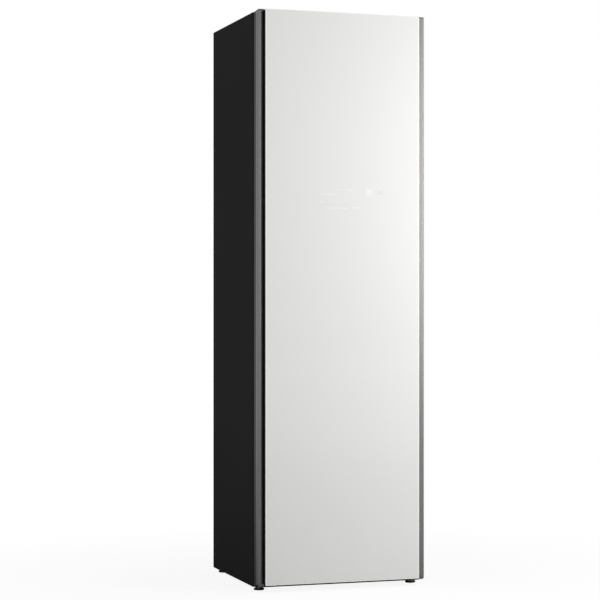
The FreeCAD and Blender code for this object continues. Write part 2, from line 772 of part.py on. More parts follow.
def cord_gland():
    """Flanged gland that a mains lead would pass through."""
    inner = PANEL_BACK - SHEET - SCREW_LENGTH
    flange = rod(GLAND_FLANGE, (GLAND_X, PANEL_BACK, GLAND_Z), (GLAND_X, BACK, GLAND_Z))
    body = rod(GLAND_RADIUS, (GLAND_X, inner, GLAND_Z), (GLAND_X, PANEL_BACK, GLAND_Z))
    bore = rod(GLAND_BORE, (GLAND_X, inner, GLAND_Z), (GLAND_X, BACK, GLAND_Z))
    return cut(join(flange, body), bore)


def cover_screw_places():
    low, high = CASE_LOW + SCREW_INSET + BASE_FLANGE, CASE_LOW + SERVICE_HIGH - SCREW_INSET
    heights = (low, (low + high) / 2, high)
    return [(side * (SKIN - SCREW_INSET), z) for side in (-1, 1) for z in heights]


def screw_hole(place):
    x, z = place
    return rod(SCREW_SHANK, (x, PANEL_BACK - SHEET, z), (x, PANEL_BACK, z))


def cover_screws():
    screws = []
    for x, z in cover_screw_places():
        head = rod(SCREW_HEAD, (x, PANEL_BACK, z), (x, PANEL_BACK + SCREW_HEAD_HIGH, z))
        shank = rod(SCREW_SHANK, (x, PANEL_BACK - SCREW_LENGTH, z), (x, PANEL_BACK, z))
        slot = block(
            about(x, SCREW_SHANK / 4),
            (PANEL_BACK + SCREW_HEAD_HIGH / 2, PANEL_BACK + SCREW_HEAD_HIGH),
            about(z, SCREW_HEAD),
        )
        screws.append(cut(join(head, shank), slot))
    return group(*screws)


# ---- cabin
def insulation():
    z, front = (FLOOR_UNDER, CEILING_TOP), CABIN_FRONT + JOINT
    side = block((CABIN_HALF + LINER, SKIN), (front, CABIN_BACK + LINER), z)
    rear = block(mid(SKIN), (CABIN_BACK + LINER, PANEL_BACK - SHEET), z)
    return group(side, mirrored(side), rear)


def cabin_side():
    """Right cabin wall with the rail that carries the shelf."""
    wall = block(
        (CABIN_HALF, CABIN_HALF + LINER), (CABIN_FRONT, CABIN_BACK + LINER), (FLOOR_UNDER, CABIN_HIGH)
    )
    rail = block(
        (CABIN_HALF - RAIL_OUT, CABIN_HALF),
        (CASE_FRONT + SHELF_FRONT, CABIN_BACK - SHELF_REAR),
        (SHELF_LEVEL - RAIL_HIGH, SHELF_LEVEL),
    )
    return join(wall, rail)


def cabin_rear():
    return block(mid(CABIN_HALF), (CABIN_BACK, CABIN_BACK + LINER), (CABIN_LOW, CABIN_HIGH))


def arm_slots(z, gap):
    """Openings for the hanger bar's arms, long enough for its travel."""
    return [
        block(
            about(side * ARM_X, ARM_THICK / 2 + BAR_TRAVEL + gap),
            about(CABIN_Y, ARM_WIDE / 2 + gap),
            z,
        )
        for side in (-1, 1)
    ]


def lamp_place():
    return mid(LAMP_HALF[0]), about(CASE_FRONT + LAMP_Y, LAMP_HALF[1])


def cabin_ceiling():
    plate = block(
        mid(CABIN_HALF + LINER), (CABIN_FRONT, CABIN_BACK + LINER), (CABIN_HIGH, CEILING_TOP)
    )
    lamp_hole = block(*lamp_place(), (CABIN_HIGH, CEILING_TOP))
    return cut(plate, lamp_hole, *arm_slots((CABIN_HIGH, CEILING_TOP), ARM_ROOM))


def cabin_lamp():
    """Frosted lamp cover that fills the ceiling's hole."""
    x, y = lamp_place()
    lens = block(
        (x[0] + GAP, x[1] - GAP), (y[0] + GAP, y[1] - GAP), (CABIN_HIGH - LAMP_DEEP / 2, CEILING_TOP)
    )
    flange = block(
        (x[0] - LAMP_DEEP, x[1] + LAMP_DEEP),
        (y[0] - LAMP_DEEP, y[1] + LAMP_DEEP),
        (CEILING_TOP, CEILING_TOP + LAMP_DEEP / 2),
    )
    return join(lens, flange)


def floor_wells():
    """Openings in the cabin floor for the lint filter and the aroma cartridge."""
    return [
        (about(FILTER_X, FILTER_HALF[0]), about(FITTING_Y, FILTER_HALF[1])),
        (about(AROMA_X, AROMA_HALF[0]), about(FITTING_Y, AROMA_HALF[1])),
    ]


def cabin_floor():
    """Cabin floor with two wells, the barred air outlet and the steam nozzle's hole."""
    z = (FLOOR_UNDER, CABIN_LOW)
    plate = block(mid(CABIN_HALF), (CABIN_FRONT, CABIN_BACK + LINER), z)
    wells = [block(x, y, z) for x, y in floor_wells()]
    count = int(2 * OUTLET_HALF[0] // OUTLET_PITCH)
    first = -(count - 1) * OUTLET_PITCH / 2
    slots = [
        block(
            about(first + k * OUTLET_PITCH, (OUTLET_PITCH - OUTLET_BAR) / 2),
            about(OUTLET_Y, OUTLET_HALF[1]),
            z,
        )
        for k in range(count)
    ]
    x, y = steam_place()
    return cut(plate, *wells, *slots, rod(HOSE + GAP, (x, y, z[0]), (x, y, z[1])))


def steam_place():
    return (BOILER_X[0] + BOILER_X[1]) / 2, (BOILER_Y[0] + BOILER_Y[1]) / 2


def floor_insert(x, y, deep):
    """Open basket with a flange that rests on the cabin floor, and a grip across it."""
    x, y = (x[0] + GAP, x[1] - GAP), (y[0] + GAP, y[1] - GAP)
    top = CABIN_LOW + GAP + FITTING_FLANGE_THICK
    body = block(x, y, (CABIN_LOW - deep, top))
    flange = block(
        (x[0] - FITTING_FLANGE, x[1] + FITTING_FLANGE),
        (y[0] - FITTING_FLANGE, y[1] + FITTING_FLANGE),
        (CABIN_LOW + GAP, top),
    )
    inside = block(
        (x[0] + FITTING_WALL, x[1] - FITTING_WALL),
        (y[0] + FITTING_WALL, y[1] - FITTING_WALL),
        (CABIN_LOW - deep + FITTING_WALL, top),
    )
    grip = block(
        about((x[0] + x[1]) / 2, FITTING_GRIP / 2), y, (CABIN_LOW - deep + FITTING_WALL, top)
    )
    return join(cut(join(body, flange), inside), grip)


def shelf():
    """Slotted shelf that rests on the two side rails."""
    x = CABIN_HALF - SHELF_SIDE_GAP
    y = (CASE_FRONT + SHELF_FRONT, CABIN_BACK - SHELF_REAR)
    z = (SHELF_LEVEL + GAP, SHELF_LEVEL + GAP + SHELF_THICK)
    plate = block(mid(x), y, z)
    plate = plate.makeFillet(SHELF_BORDER / 2, edges_along(plate, (0, 0, 1), lambda p: True))
    count = int((2 * (x - RAIL_OUT) - 2 * SHELF_BORDER) // SHELF_PITCH)
    first = -(count - 1) * SHELF_PITCH / 2
    middle = (y[0] + y[1]) / 2
    rows = (
        (y[0] + SHELF_BORDER, middle - SHELF_BORDER / 2),
        (middle + SHELF_BORDER / 2, y[1] - SHELF_BORDER),
    )
    slots = [
        block(about(first + k * SHELF_PITCH, SHELF_SLOT / 2), row, z)
        for k in range(count)
        for row in rows
    ]
    return cut(plate, *slots)


# ---- moving hanger bar
def drive_plate():
    """Plate on the cabin ceiling with rod posts, the crank's axle and the motor bridge."""
    x = POST_X + POST_THICK / 2
    z = (CEILING_TOP, DRIVE_TOP)
    plate = block(
        mid(x), (CABIN_Y - ROD_SPREAD - POST_HALF, CRANK_Y + BRIDGE_HALF + BRIDGE), z
    )
    posts, bores = [], []
    for side in (-1, 1):
        for spread in (-ROD_SPREAD, ROD_SPREAD):
            y = CABIN_Y + spread
            posts.append(
                block(
                    about(side * POST_X, POST_THICK / 2),
                    about(y, POST_HALF),
                    (CEILING_TOP, ROD_Z + POST_HALF),
                )
            )
    for spread in (-ROD_SPREAD, ROD_SPREAD):
        y = CABIN_Y + spread
        bores.append(rod(ROD_RADIUS, (-x, y, ROD_Z), (x, y, ROD_Z)))
    axle = rod(
        CRANK_AXLE, (0, CRANK_Y, CEILING_TOP), (0, CRANK_Y, PULLEY_LOW + PULLEY_THICK - GAP)
    )
    collar = rod(CRANK_AXLE + PULLEY_LIP, (0, CRANK_Y, CEILING_TOP), (0, CRANK_Y, PULLEY_LOW - GAP))
    walls = [
        block(
            about(MOTOR_X, BRIDGE_HALF),
            sorted((CRANK_Y + side * BRIDGE_HALF, CRANK_Y + side * (BRIDGE_HALF - BRIDGE))),
            (CEILING_TOP, BRIDGE_LOW + BRIDGE),
        )
        for side in (-1, 1)
    ]
    deck = block(
        about(MOTOR_X, BRIDGE_HALF), about(CRANK_Y, BRIDGE_HALF), (BRIDGE_LOW, BRIDGE_LOW + BRIDGE)
    )
    shaft_hole = rod(
        MOTOR_SHAFT + PULLEY_LIP, (MOTOR_X, CRANK_Y, BRIDGE_LOW), (MOTOR_X, CRANK_Y, BRIDGE_LOW + BRIDGE)
    )
    whole = join(plate, *posts, axle, collar, *walls, deck)
    return cut(whole, *bores, shaft_hole, *arm_slots(z, ARM_ROOM))


def guide_rods():
    x = POST_X + POST_THICK / 2
    return group(
        *[
            rod(ROD_RADIUS, (-x, CABIN_Y + s, ROD_Z), (x, CABIN_Y + s, ROD_Z))
            for s in (-ROD_SPREAD, ROD_SPREAD)
        ]
    )


def carriage():
    """Sliding plate with four bored blocks and the slotted tongue that the crank drives."""
    z = (CARRIAGE_LOW, CARRIAGE_LOW + CARRIAGE)
    half = BLOCK_IN + BLOCK_LENGTH
    plate = block(mid(half), about(CABIN_Y, ROD_SPREAD + CARRIAGE_RIM), z)
    pin_y = CRANK_Y - CRANK_RADIUS
    tongue_half = CRANK_PIN + CRANK_SLOT_GAP + CARRIAGE_RIM
    slot_end = CRANK_PIN + CRANK_SLOT_MORE
    tongue = block(mid(tongue_half), (CABIN_Y, pin_y + slot_end + CARRIAGE_RIM), z)
    slot = block(mid(CRANK_PIN + CRANK_SLOT_GAP), about(pin_y, slot_end), z)
    blocks, bores = [], []
    for spread in (-ROD_SPREAD, ROD_SPREAD):
        y = CABIN_Y + spread
        bores.append(rod(ROD_RADIUS + FIT, (-half, y, ROD_Z), (half, y, ROD_Z)))
        for x in ((BLOCK_IN, half), (-half, -BLOCK_IN)):
            blocks.append(block(x, about(y, BLOCK_HALF), (ROD_Z - BLOCK_HALF, CARRIAGE_LOW)))
    return cut(join(plate, tongue, *blocks), slot, *bores)


def bar_places():
    return [BAR_PITCH * (k - (BAR_PLACES - 1) / 2) for k in range(BAR_PLACES)]


def hanger_bar():
    """Round bar with a neck at each place, on two flat arms."""
    bar = rod(BAR_RADIUS, (-BAR_HALF, CABIN_Y, BAR_Z), (BAR_HALF, CABIN_Y, BAR_Z))
    arms = [
        block(
            about(side * ARM_X, ARM_THICK / 2), about(CABIN_Y, ARM_WIDE / 2), (BAR_Z, CARRIAGE_LOW)
        )
        for side in (-1, 1)
    ]
    necks = []
    for x in bar_places():
        ends = (x - BAR_NECK_WIDTH / 2, CABIN_Y, BAR_Z), (x + BAR_NECK_WIDTH / 2, CABIN_Y, BAR_Z)
        necks.append(cut(rod(2 * BAR_RADIUS, *ends), rod(BAR_NECK, *ends)))
    return cut(join(bar, *arms), *necks)


def pulley(x, radius, bore):
    """Belt pulley with a lip at each end."""
    y, low, high = CRANK_Y, PULLEY_LOW, PULLEY_LOW + PULLEY_THICK
    body = rod(radius, (x, y, low), (x, y, high))
    lips = [
        rod(radius + PULLEY_LIP, (x, y, a), (x, y, a + PULLEY_RIM)) for a in (low, high - PULLEY_RIM)
    ]
    return cut(join(body, *lips), rod(bore, (x, y, low), (x, y, high)))


def crank_pulley():
    """Large pulley with the pin that drives the carriage."""
    y, base = CRANK_Y - CRANK_RADIUS, PULLEY_LOW + PULLEY_THICK / 2
    pin = rod(CRANK_PIN, (0, y, base), (0, y, CARRIAGE_LOW + CARRIAGE + PULLEY_LIP))
    return join(pulley(0, CRANK_PULLEY, CRANK_AXLE + FIT), pin)


def motor_pulley():
    return pulley(MOTOR_X, MOTOR_PULLEY, MOTOR_SHAFT + FIT)


def belt_outline(more):
    """Plan outline round both pulleys, this far outside their radii."""
    big, small = CRANK_PULLEY + more, MOTOR_PULLEY + more
    lean = math.acos((big - small) / MOTOR_X)
    c, s = math.cos(lean), math.sin(lean)
    return outline(
        arc((big * c, CRANK_Y + big * s, 0), (-big, CRANK_Y, 0), (big * c, CRANK_Y - big * s, 0)),
        line((big * c, CRANK_Y - big * s, 0), (MOTOR_X + small * c, CRANK_Y - small * s, 0)),
        arc(
            (MOTOR_X + small * c, CRANK_Y - small * s, 0),
            (MOTOR_X + small, CRANK_Y, 0),
            (MOTOR_X + small * c, CRANK_Y + small * s, 0),
        ),
        line((MOTOR_X + small * c, CRANK_Y + small * s, 0), (big * c, CRANK_Y + big * s, 0)),
    )


def drive_belt():
    edge = PULLEY_RIM + BELT_SIDE_GAP
    z = (PULLEY_LOW + edge, PULLEY_LOW + PULLEY_THICK - edge)
    return cut(raised(belt_outline(GAP + BELT), z), raised(belt_outline(GAP), z))


def drive_motor():
    low = BRIDGE_LOW + BRIDGE
    body = rod(MOTOR_RADIUS, (MOTOR_X, CRANK_Y, low), (MOTOR_X, CRANK_Y, low + MOTOR_HEIGHT))
    body = body.makeFillet(MOTOR_SHAFT, [e for e in body.Edges if e.BoundBox.ZMin > low])
    shaft = rod(MOTOR_SHAFT, (MOTOR_X, CRANK_Y, PULLEY_LOW), (MOTOR_X, CRANK_Y, low))
    return join(body, shaft)


def hanger(place):
    """Shoulder hanger with a hook round the bar's neck and a trouser bar."""
    x = place * BAR_PITCH
    inner, outer = BAR_NECK + GAP, BAR_NECK + GAP + HOOK_WALL
    ends = (x - HOOK_THICK / 2, CABIN_Y, BAR_Z), (x + HOOK_THICK / 2, CABIN_Y, BAR_Z)
    across = about(x, HOOK_THICK / 2)
    loop = cut(
        rod(outer, *ends),
        rod(inner, *ends),
        block(across, (CABIN_Y - outer, CABIN_Y + outer), (BAR_Z - outer, BAR_Z)),
    )
    tip = block(across, (CABIN_Y - outer, CABIN_Y - inner), (BAR_Z - HOOK_TIP, BAR_Z))
    drop = block(across, (CABIN_Y + inner, CABIN_Y + outer), (BAR_Z - HOOK_DROP, BAR_Z))
    foot = block(
        across,
        (CABIN_Y - STEM_HALF, CABIN_Y + outer),
        (BAR_Z - HOOK_DROP - HOOK_FOOT, BAR_Z - HOOK_DROP),
    )
    stem = block(
        across,
        about(CABIN_Y, STEM_HALF),
        (BAR_Z - SHOULDER_TOP - SHOULDER_DEEP / 2, BAR_Z - HOOK_DROP),
    )
    return join(loop, tip, drop, foot, stem, shoulders(x), trouser_bar(x))


def shoulders(x):
    """Bowed shoulder piece, thick enough to hold a jacket's shape."""
    top, low = BAR_Z - SHOULDER_TOP, BAR_Z - SHOULDER_TOP - SHOULDER_FALL
    start = x - SHOULDER_THICK / 2

    def point(along, z):
        return start, CABIN_Y + along, z

    def bow(side, drop):
        return point(side * SHOULDER_HALF / 2, (top + low) / 2 + SHOULDER_BOW - drop)

    face = outline(
        arc(point(0, top), bow(1, 0), point(SHOULDER_HALF, low)),
        line(point(SHOULDER_HALF, low), point(SHOULDER_HALF, low - SHOULDER_DEEP / 2)),
        arc(
            point(SHOULDER_HALF, low - SHOULDER_DEEP / 2),
            bow(1, SHOULDER_DEEP),
            point(0, top - SHOULDER_DEEP),
        ),
        arc(
            point(0, top - SHOULDER_DEEP),
            bow(-1, SHOULDER_DEEP),
            point(-SHOULDER_HALF, low - SHOULDER_DEEP / 2),
        ),
        line(point(-SHOULDER_HALF, low - SHOULDER_DEEP / 2), point(-SHOULDER_HALF, low)),
        arc(point(-SHOULDER_HALF, low), bow(-1, 0), point(0, top)),
    )
    body = face.extrude(V(SHOULDER_THICK, 0, 0))
    ends = edges_along(body, (1, 0, 0), lambda p: abs(p.y - CABIN_Y) > SHOULDER_HALF / 2)
    return body.makeFillet(SHOULDER_ROUND, ends)


def trouser_bar(x):
    z = BAR_Z - TROUSER_DROP
    top = BAR_Z - SHOULDER_TOP - SHOULDER_FALL * TROUSER_HALF / SHOULDER_HALF - SHOULDER_DEEP / 2
    bar = rod(TROUSER_ROD, (x, CABIN_Y - TROUSER_HALF, z), (x, CABIN_Y + TROUSER_HALF, z))
    legs = [
        block(
            about(x, TROUSER_LEG / 2),
            about(CABIN_Y + side * (TROUSER_HALF - TROUSER_LEG), TROUSER_LEG),
            (z, top + SHOULDER_BOW / 2),
        )
        for side in (-1, 1)
    ]
    return join(bar, *legs)


# ---- water tanks
def tank_bay():
    """Open-fronted housing for two tanks, with the intake channel above them."""
    y = (CABIN_FRONT, BAY_BACK)
    front, back = (CABIN_FRONT, CABIN_FRONT + BAY_WALL), (BAY_BACK - BAY_WALL, BAY_BACK)
    tall = (BAY_LOW, FLOOR_UNDER)
    middle = [
        block(mid(BAY_HALF), y, (BAY_LOW, BAY_LOW + BAY_WALL)),
        block(mid(BAY_HALF), y, (BAY_ROOF_LOW, BAY_ROOF_TOP)),
        block(mid(BAY_HALF), back, (BAY_LOW, BAY_ROOF_TOP)),
        block(mid(BAY_HALF), front, (BAY_ROOF_LOW, FLOOR_UNDER)),
        block(mid(DIVIDER / 2), y, (BAY_LOW, BAY_ROOF_TOP)),
    ]
    right = [
        block((BAY_HALF - BAY_WALL, BAY_HALF), y, tall),
        block((CHANNEL_HALF, BAY_HALF), back, tall),
        block((BAY_HALF - BAY_WALL, CABIN_HALF - JOINT), front, tall),
    ]
    return join(*middle, *right, *[mirrored(wall) for wall in right])


def kick_panel():
    """Plain front below the tanks, inside the rim's opening."""
    z = (RIM_OPEN + JOINT, BAY_LOW - JOINT)
    return block(mid(CABIN_HALF - JOINT), (CASE_FRONT, CABIN_FRONT), z)


def water_tank():
    """Right tank with its lid, open at the front for pouring, and a handhold."""
    x, y, z = (TANK_IN, TANK_OUT), (TANK_Y, TANK_BACK), (TANK_LOW, TANK_HIGH - TANK_LID)
    shell = block(x, y, z)
    upright = edges_along(shell, (0, 0, 1), lambda p: p.y < TANK_BACK)
    shell = shell.makeFillet(2 * TANK_WALL, upright)
    inside = block(
        (x[0] + TANK_WALL, x[1] - TANK_WALL),
        (y[0] + TANK_WALL, y[1] - TANK_WALL),
        (z[0] + TANK_WALL, z[1]),
    )
    top = z[1] - HANDHOLD_DROP
    handhold = block(
        about((x[0] + x[1]) / 2, HANDHOLD_HALF), (y[0], y[0] + TANK_WALL), (top - HANDHOLD_HIGH, top)
    )
    lid = block(x, (y[0] + TANK_MOUTH, y[1]), (z[1], TANK_HIGH))
    return group(cut(shell, inside, handhold), lid)


# ---- air circuit
def air_duct():
    """Trough under the cabin floor that holds the fan and the heat exchangers."""
    y, z = (DUCT_FRONT, DUCT_BACK), (DUCT_LOW, FLOOR_UNDER)
    trough = cut(
        block(mid(DUCT_HALF), y, z),
        block(
            mid(DUCT_HALF - DUCT_WALL), (y[0] + DUCT_WALL, y[1] - DUCT_WALL), (z[0] + DUCT_WALL, z[1])
        ),
        block(mid(CHANNEL_HALF), (y[0], y[0] + DUCT_WALL), (BAY_ROOF_TOP, z[1])),
    )
    middle = FAN_Y + FAN_LENGTH / 2
    shroud = cut(
        block(mid(DUCT_HALF), about(middle, DUCT_WALL / 2), z),
        rod(
            FAN_RADIUS + FAN_SHROUD_GAP,
            (0, middle - DUCT_WALL, FAN_Z),
            (0, middle + DUCT_WALL, FAN_Z),
        ),
    )
    holes = [
        rod(PIPE + JOINT, (DUCT_HALF - 2 * DUCT_WALL, py, pz), (DUCT_HALF + DUCT_WALL, py, pz))
        for py, pz in pipe_ports()
    ]
    return cut(join(trough, shroud), *holes)


def fan_motor():
    start = DUCT_FRONT + DUCT_WALL
    end = start + FAN_MOTOR_LENGTH
    body = rod(FAN_MOTOR, (0, start, FAN_Z), (0, end, FAN_Z))
    shaft = rod(FAN_SHAFT, (0, end, FAN_Z), (0, FAN_Y + FAN_LENGTH - GAP, FAN_Z))
    return join(body, shaft)


def fan_wheel():
    """Axial wheel: hub, pitched blades and an outer ring."""
    start, end = (0, FAN_Y, FAN_Z), (0, FAN_Y + FAN_LENGTH, FAN_Z)
    middle = FAN_Y + FAN_LENGTH / 2
    ring = cut(rod(FAN_RADIUS, start, end), rod(FAN_RADIUS - FAN_RING, start, end))
    hub = rod(FAN_HUB, start, end)
    blades = []
    for k in range(FAN_BLADES):
        blade = block(
            mid(FAN_BLADE / 2),
            about(middle, FAN_BLADE_CHORD / 2),
            (FAN_Z + FAN_HUB / 2, FAN_Z + FAN_RADIUS - FAN_RING / 2),
        )
        blade.rotate(V(0, middle, FAN_Z), V(0, 0, 1), FAN_PITCH)
        blade.rotate(V(0, middle, FAN_Z), V(0, 1, 0), k * 360 / FAN_BLADES)
        blades.append(blade)
    return cut(join(ring, hub, *blades), rod(FAN_SHAFT + FIT, start, end))


def exchanger_top():
    return DUCT_LOW + DUCT_WALL + EXCHANGER_HIGH


def heat_exchanger(y):
    """Finned block: end plates, fins and the tubes that run through them."""
    z = (DUCT_LOW + DUCT_WALL, exchanger_top())
    pitch = (2 * EXCHANGER_HALF - FIN) / (FINS - 1)
    fins = [
        block(
            (-EXCHANGER_HALF + k * pitch, -EXCHANGER_HALF + k * pitch + FIN),
            (y, y + EXCHANGER_DEEP),
            z,
        )
        for k in range(FINS)
    ]
    tubes = [
        rod(
            EXCHANGER_TUBE,
            (-EXCHANGER_HALF, y + EXCHANGER_DEEP * depth, z[0] + EXCHANGER_HIGH * height),
            (EXCHANGER_HALF, y + EXCHANGER_DEEP * depth, z[0] + EXCHANGER_HIGH * height),
        )
        for depth in (0.25, 0.75)
        for height in (0.2, 0.5, 0.8)
    ]
    return join(fins[0], *fins[1:], *tubes)


def heat_exchangers():
    return group(heat_exchanger(EVAPORATOR_Y), heat_exchanger(CONDENSER_Y))


def pipe_ports():
    """Depth and height at which the refrigerant pipes meet the two exchangers."""
    low = DUCT_LOW + DUCT_WALL
    return [
        (EVAPORATOR_Y + EXCHANGER_DEEP / 2, low + EXCHANGER_HIGH * PORT_LEVELS[0]),
        (CONDENSER_Y + EXCHANGER_DEEP / 2, low + EXCHANGER_HIGH * PORT_LEVELS[1]),
    ]


def compressor_top():
    return BASE_TOP + COMPRESSOR_FOOT + COMPRESSOR_HEIGHT


def compressor():
    """Domed steel can on three short feet."""
    x, y = COMPRESSOR_X, COMPRESSOR_Y
    low, top = BASE_TOP + COMPRESSOR_FOOT, compressor_top()
    can = rod(COMPRESSOR_RADIUS, (x, y, low), (x, y, top))
    can = can.makeFillet(COMPRESSOR_DOME, [e for e in can.Edges if e.BoundBox.ZMin > low])
    legs = []
    for k in range(3):
        turn = 2 * math.pi * k / 3
        reach = COMPRESSOR_RADIUS - COMPRESSOR_FOOT
        lx, ly = x + reach * math.cos(turn), y + reach * math.sin(turn)
        legs.append(rod(COMPRESSOR_FOOT / 2, (lx, ly, BASE_TOP), (lx, ly, low)))
    return join(can, *legs)


def refrigerant_pipes():
    """One pipe from the compressor forward to the evaporator, and one straight to the condenser."""
    (front_y, front_z), (y, z) = pipe_ports()
    near, far = COMPRESSOR_X - COMPRESSOR_DOME / 2, COMPRESSOR_X + COMPRESSOR_DOME / 2
    end = EXCHANGER_HALF + GAP
    forward = [
        (near, y, compressor_top()),
        (near, y, front_z),
        (near, front_y, front_z),
        (end, front_y, front_z),
    ]
    across = [(far, y, compressor_top()), (far, y, z), (end, y, z)]
    return group(bent_tube(forward, PIPE, PIPE_BEND), bent_tube(across, PIPE, PIPE_BEND))


def boiler_box(inset):
    """Boiler's outer box, or a smaller one inside it, with rounded upright edges."""
    box = block(
        (BOILER_X[0] + inset, BOILER_X[1] - inset),
        (BOILER_Y[0] + inset, BOILER_Y[1] - inset),
        (BOILER_LOW + inset, BOILER_LOW + BOILER_HIGH - inset),
    )
    return box.makeFillet(BOILER_FOOT / 2, edges_along(box, (0, 0, 1), lambda p: True))


def steam_generator():
    """Hollow boiler box on two feet."""
    feet = [
        block(BOILER_X, about(y, BOILER_FOOT / 2), (BASE_TOP, BOILER_LOW + BOILER_WALL / 2))
        for y in (BOILER_Y[0] + BOILER_FOOT, BOILER_Y[1] - BOILER_FOOT)
    ]
    return cut(join(boiler_box(0), *feet), boiler_box(BOILER_WALL))


def water_pumps():
    """One pump under each tank."""
    pumps = []
    for side in (-1, 1):
        x = side * PUMP_X
        pumps.append(rod(PUMP_RADIUS, (x, PUMP_Y, BASE_TOP), (x, PUMP_Y, BASE_TOP + PUMP_HEIGHT)))
    return group(*pumps)


def hoses():
    """Tank drops to the pumps, the pump's feed to the boiler, and the steam riser."""
    pump_top = BASE_TOP + PUMP_HEIGHT
    drops = [rod(HOSE, (s * PUMP_X, PUMP_Y, pump_top), (s * PUMP_X, PUMP_Y, BAY_LOW)) for s in (-1, 1)]
    x, y = steam_place()
    feed_z = BASE_TOP + PUMP_HEIGHT / 2
    feed = bent_tube(
        [(-PUMP_X - PUMP_RADIUS, PUMP_Y, feed_z), (x, PUMP_Y, feed_z), (x, BOILER_Y[0], feed_z)],
        HOSE,
        HOSE_BEND,
    )
    riser = rod(HOSE, (x, y, BOILER_LOW + BOILER_HIGH), (x, y, CABIN_LOW))
    return group(*drops, feed, riser)


def control_box():
    """Box on the right side panel with the main board against its outer wall."""
    x = (SKIN - BOARD_CASE_WIDE, SKIN)
    y = (BAY_BACK + BOARD_CASE_BEHIND, BAY_BACK + BOARD_CASE_BEHIND + BOARD_CASE_DEEP)
    case = cut(
        block(x, y, BOARD_CASE_Z),
        block(
            (x[0] + BOARD_CASE_WALL, x[1] - BOARD_CASE_WALL),
            (y[0] + BOARD_CASE_WALL, y[1] - BOARD_CASE_WALL),
            (BOARD_CASE_Z[0] + BOARD_CASE_WALL, BOARD_CASE_Z[1] - BOARD_CASE_WALL),
        ),
    )
    inner = x[1] - BOARD_CASE_WALL
    board = block(
        (inner - BOARD, inner),
        (y[0] + 2 * BOARD_CASE_WALL, y[1] - 2 * BOARD_CASE_WALL),
        (BOARD_CASE_Z[0] + 2 * BOARD_CASE_WALL, BOARD_CASE_Z[1] - 2 * BOARD_CASE_WALL),
    )
    return group(case, board)


# ---- the finished pieces
right_panel, right_wall, right_tank = side_panel(), cabin_side(), water_tank()
filter_place, aroma_place = floor_wells()
front_feet = foot_places(CASE_FRONT + FOOT_INSET_FRONT)
rear_feet = foot_places(BACK - FOOT_INSET_REAR)

PIECES = {
    "door_glass": door_glass(),
    "trim_left": mirrored(side_trim(GRIP_ROUND, GRIP_REACH)),
    "trim_right": side_trim(TRIM_EDGE, TRIM_EDGE),
    "trim_end_caps": end_caps(),
    "door_tray": door_tray(),
    "display_board": display_board(),
    "door_frame": door_frame(),
    "hinge_bushes": hinge_bushes(),
    "door_insulation": door_insulation(),
    "door_liner": door_liner(),
    "door_gasket": door_gasket(),
    "press_board": press_board(),
    "press_flap": press_flap(),
    "base_frame": base_frame(),
    "side_panel_left": mirrored(right_panel),
    "side_panel_right": right_panel,
    "top_panel": top_panel(),
    "back_panel": back_panel(),
    "service_cover": service_cover(),
    "cover_screws": cover_screws(),
    "cord_gland": cord_gland(),
    "front_rim": front_rim(),
    "hinge_plates": hinge_plates(),
    "insulation": insulation(),
    "cabin_wall_left": mirrored(right_wall),
    "cabin_wall_right": right_wall,
    "cabin_rear": cabin_rear(),
    "cabin_ceiling": cabin_ceiling(),
    "cabin_floor": cabin_floor(),
    "cabin_lamp": cabin_lamp(),
    "shelf": shelf(),
    "lint_filter": floor_insert(*filter_place, FILTER_DEEP),
    "aroma_cartridge": floor_insert(*aroma_place, AROMA_DEEP),
    "drive_plate": drive_plate(),
    "guide_rods": guide_rods(),
    "carriage": carriage(),
    "hanger_bar": hanger_bar(),
    "crank_pulley": crank_pulley(),
    "motor_pulley": motor_pulley(),
    "drive_belt": drive_belt(),
    "drive_motor": drive_motor(),
    "hanger_left": hanger(HANGER_PLACES[0]),
    "hanger_right": hanger(HANGER_PLACES[1]),
    "tank_bay": tank_bay(),
    "kick_panel": kick_panel(),
    "supply_tank": mirrored(right_tank),
    "drain_tank": right_tank,
    "air_duct": air_duct(),
    "fan_motor": fan_motor(),
    "fan_wheel": fan_wheel(),
    "heat_exchangers": heat_exchangers(),
    "compressor": compressor(),
    "refrigerant_pipes": refrigerant_pipes(),
    "steam_generator": steam_generator(),
    "water_pumps": water_pumps(),
    "hoses": hoses(),
    "control_box": control_box(),
    "foot_front_left": levelling_foot(front_feet[0]),
    "foot_front_right": levelling_foot(front_feet[1]),
    "rear_feet": group(*[levelling_foot(place) for place in rear_feet]),
}

os.makedirs("parts", exist_ok=True)
for name, shape in PIECES.items():
    shape.exportStep("parts/" + name + ".step")
    print(name, len(shape.Solids), shape.isValid(), round(shape.Volume / 1000, 1))
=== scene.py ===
import json
import math

import bmesh
import bpy
from mathutils import Matrix, Vector


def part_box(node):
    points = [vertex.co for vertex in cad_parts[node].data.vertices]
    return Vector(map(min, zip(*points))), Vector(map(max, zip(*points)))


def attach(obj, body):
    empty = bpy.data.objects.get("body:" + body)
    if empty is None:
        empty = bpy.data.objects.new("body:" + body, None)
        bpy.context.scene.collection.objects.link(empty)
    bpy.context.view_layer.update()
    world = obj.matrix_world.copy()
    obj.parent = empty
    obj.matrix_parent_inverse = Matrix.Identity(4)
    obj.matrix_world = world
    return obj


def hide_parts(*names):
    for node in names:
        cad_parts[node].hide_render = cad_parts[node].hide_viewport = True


# %% [markdown]
# # A clothes care steam cabinet
# The measured model is loaded first. It gives every piece its place, so nothing below has to be
# fitted by eye. The cabinet stands on z = 0 and its door faces -Y. Lengths are in metres.

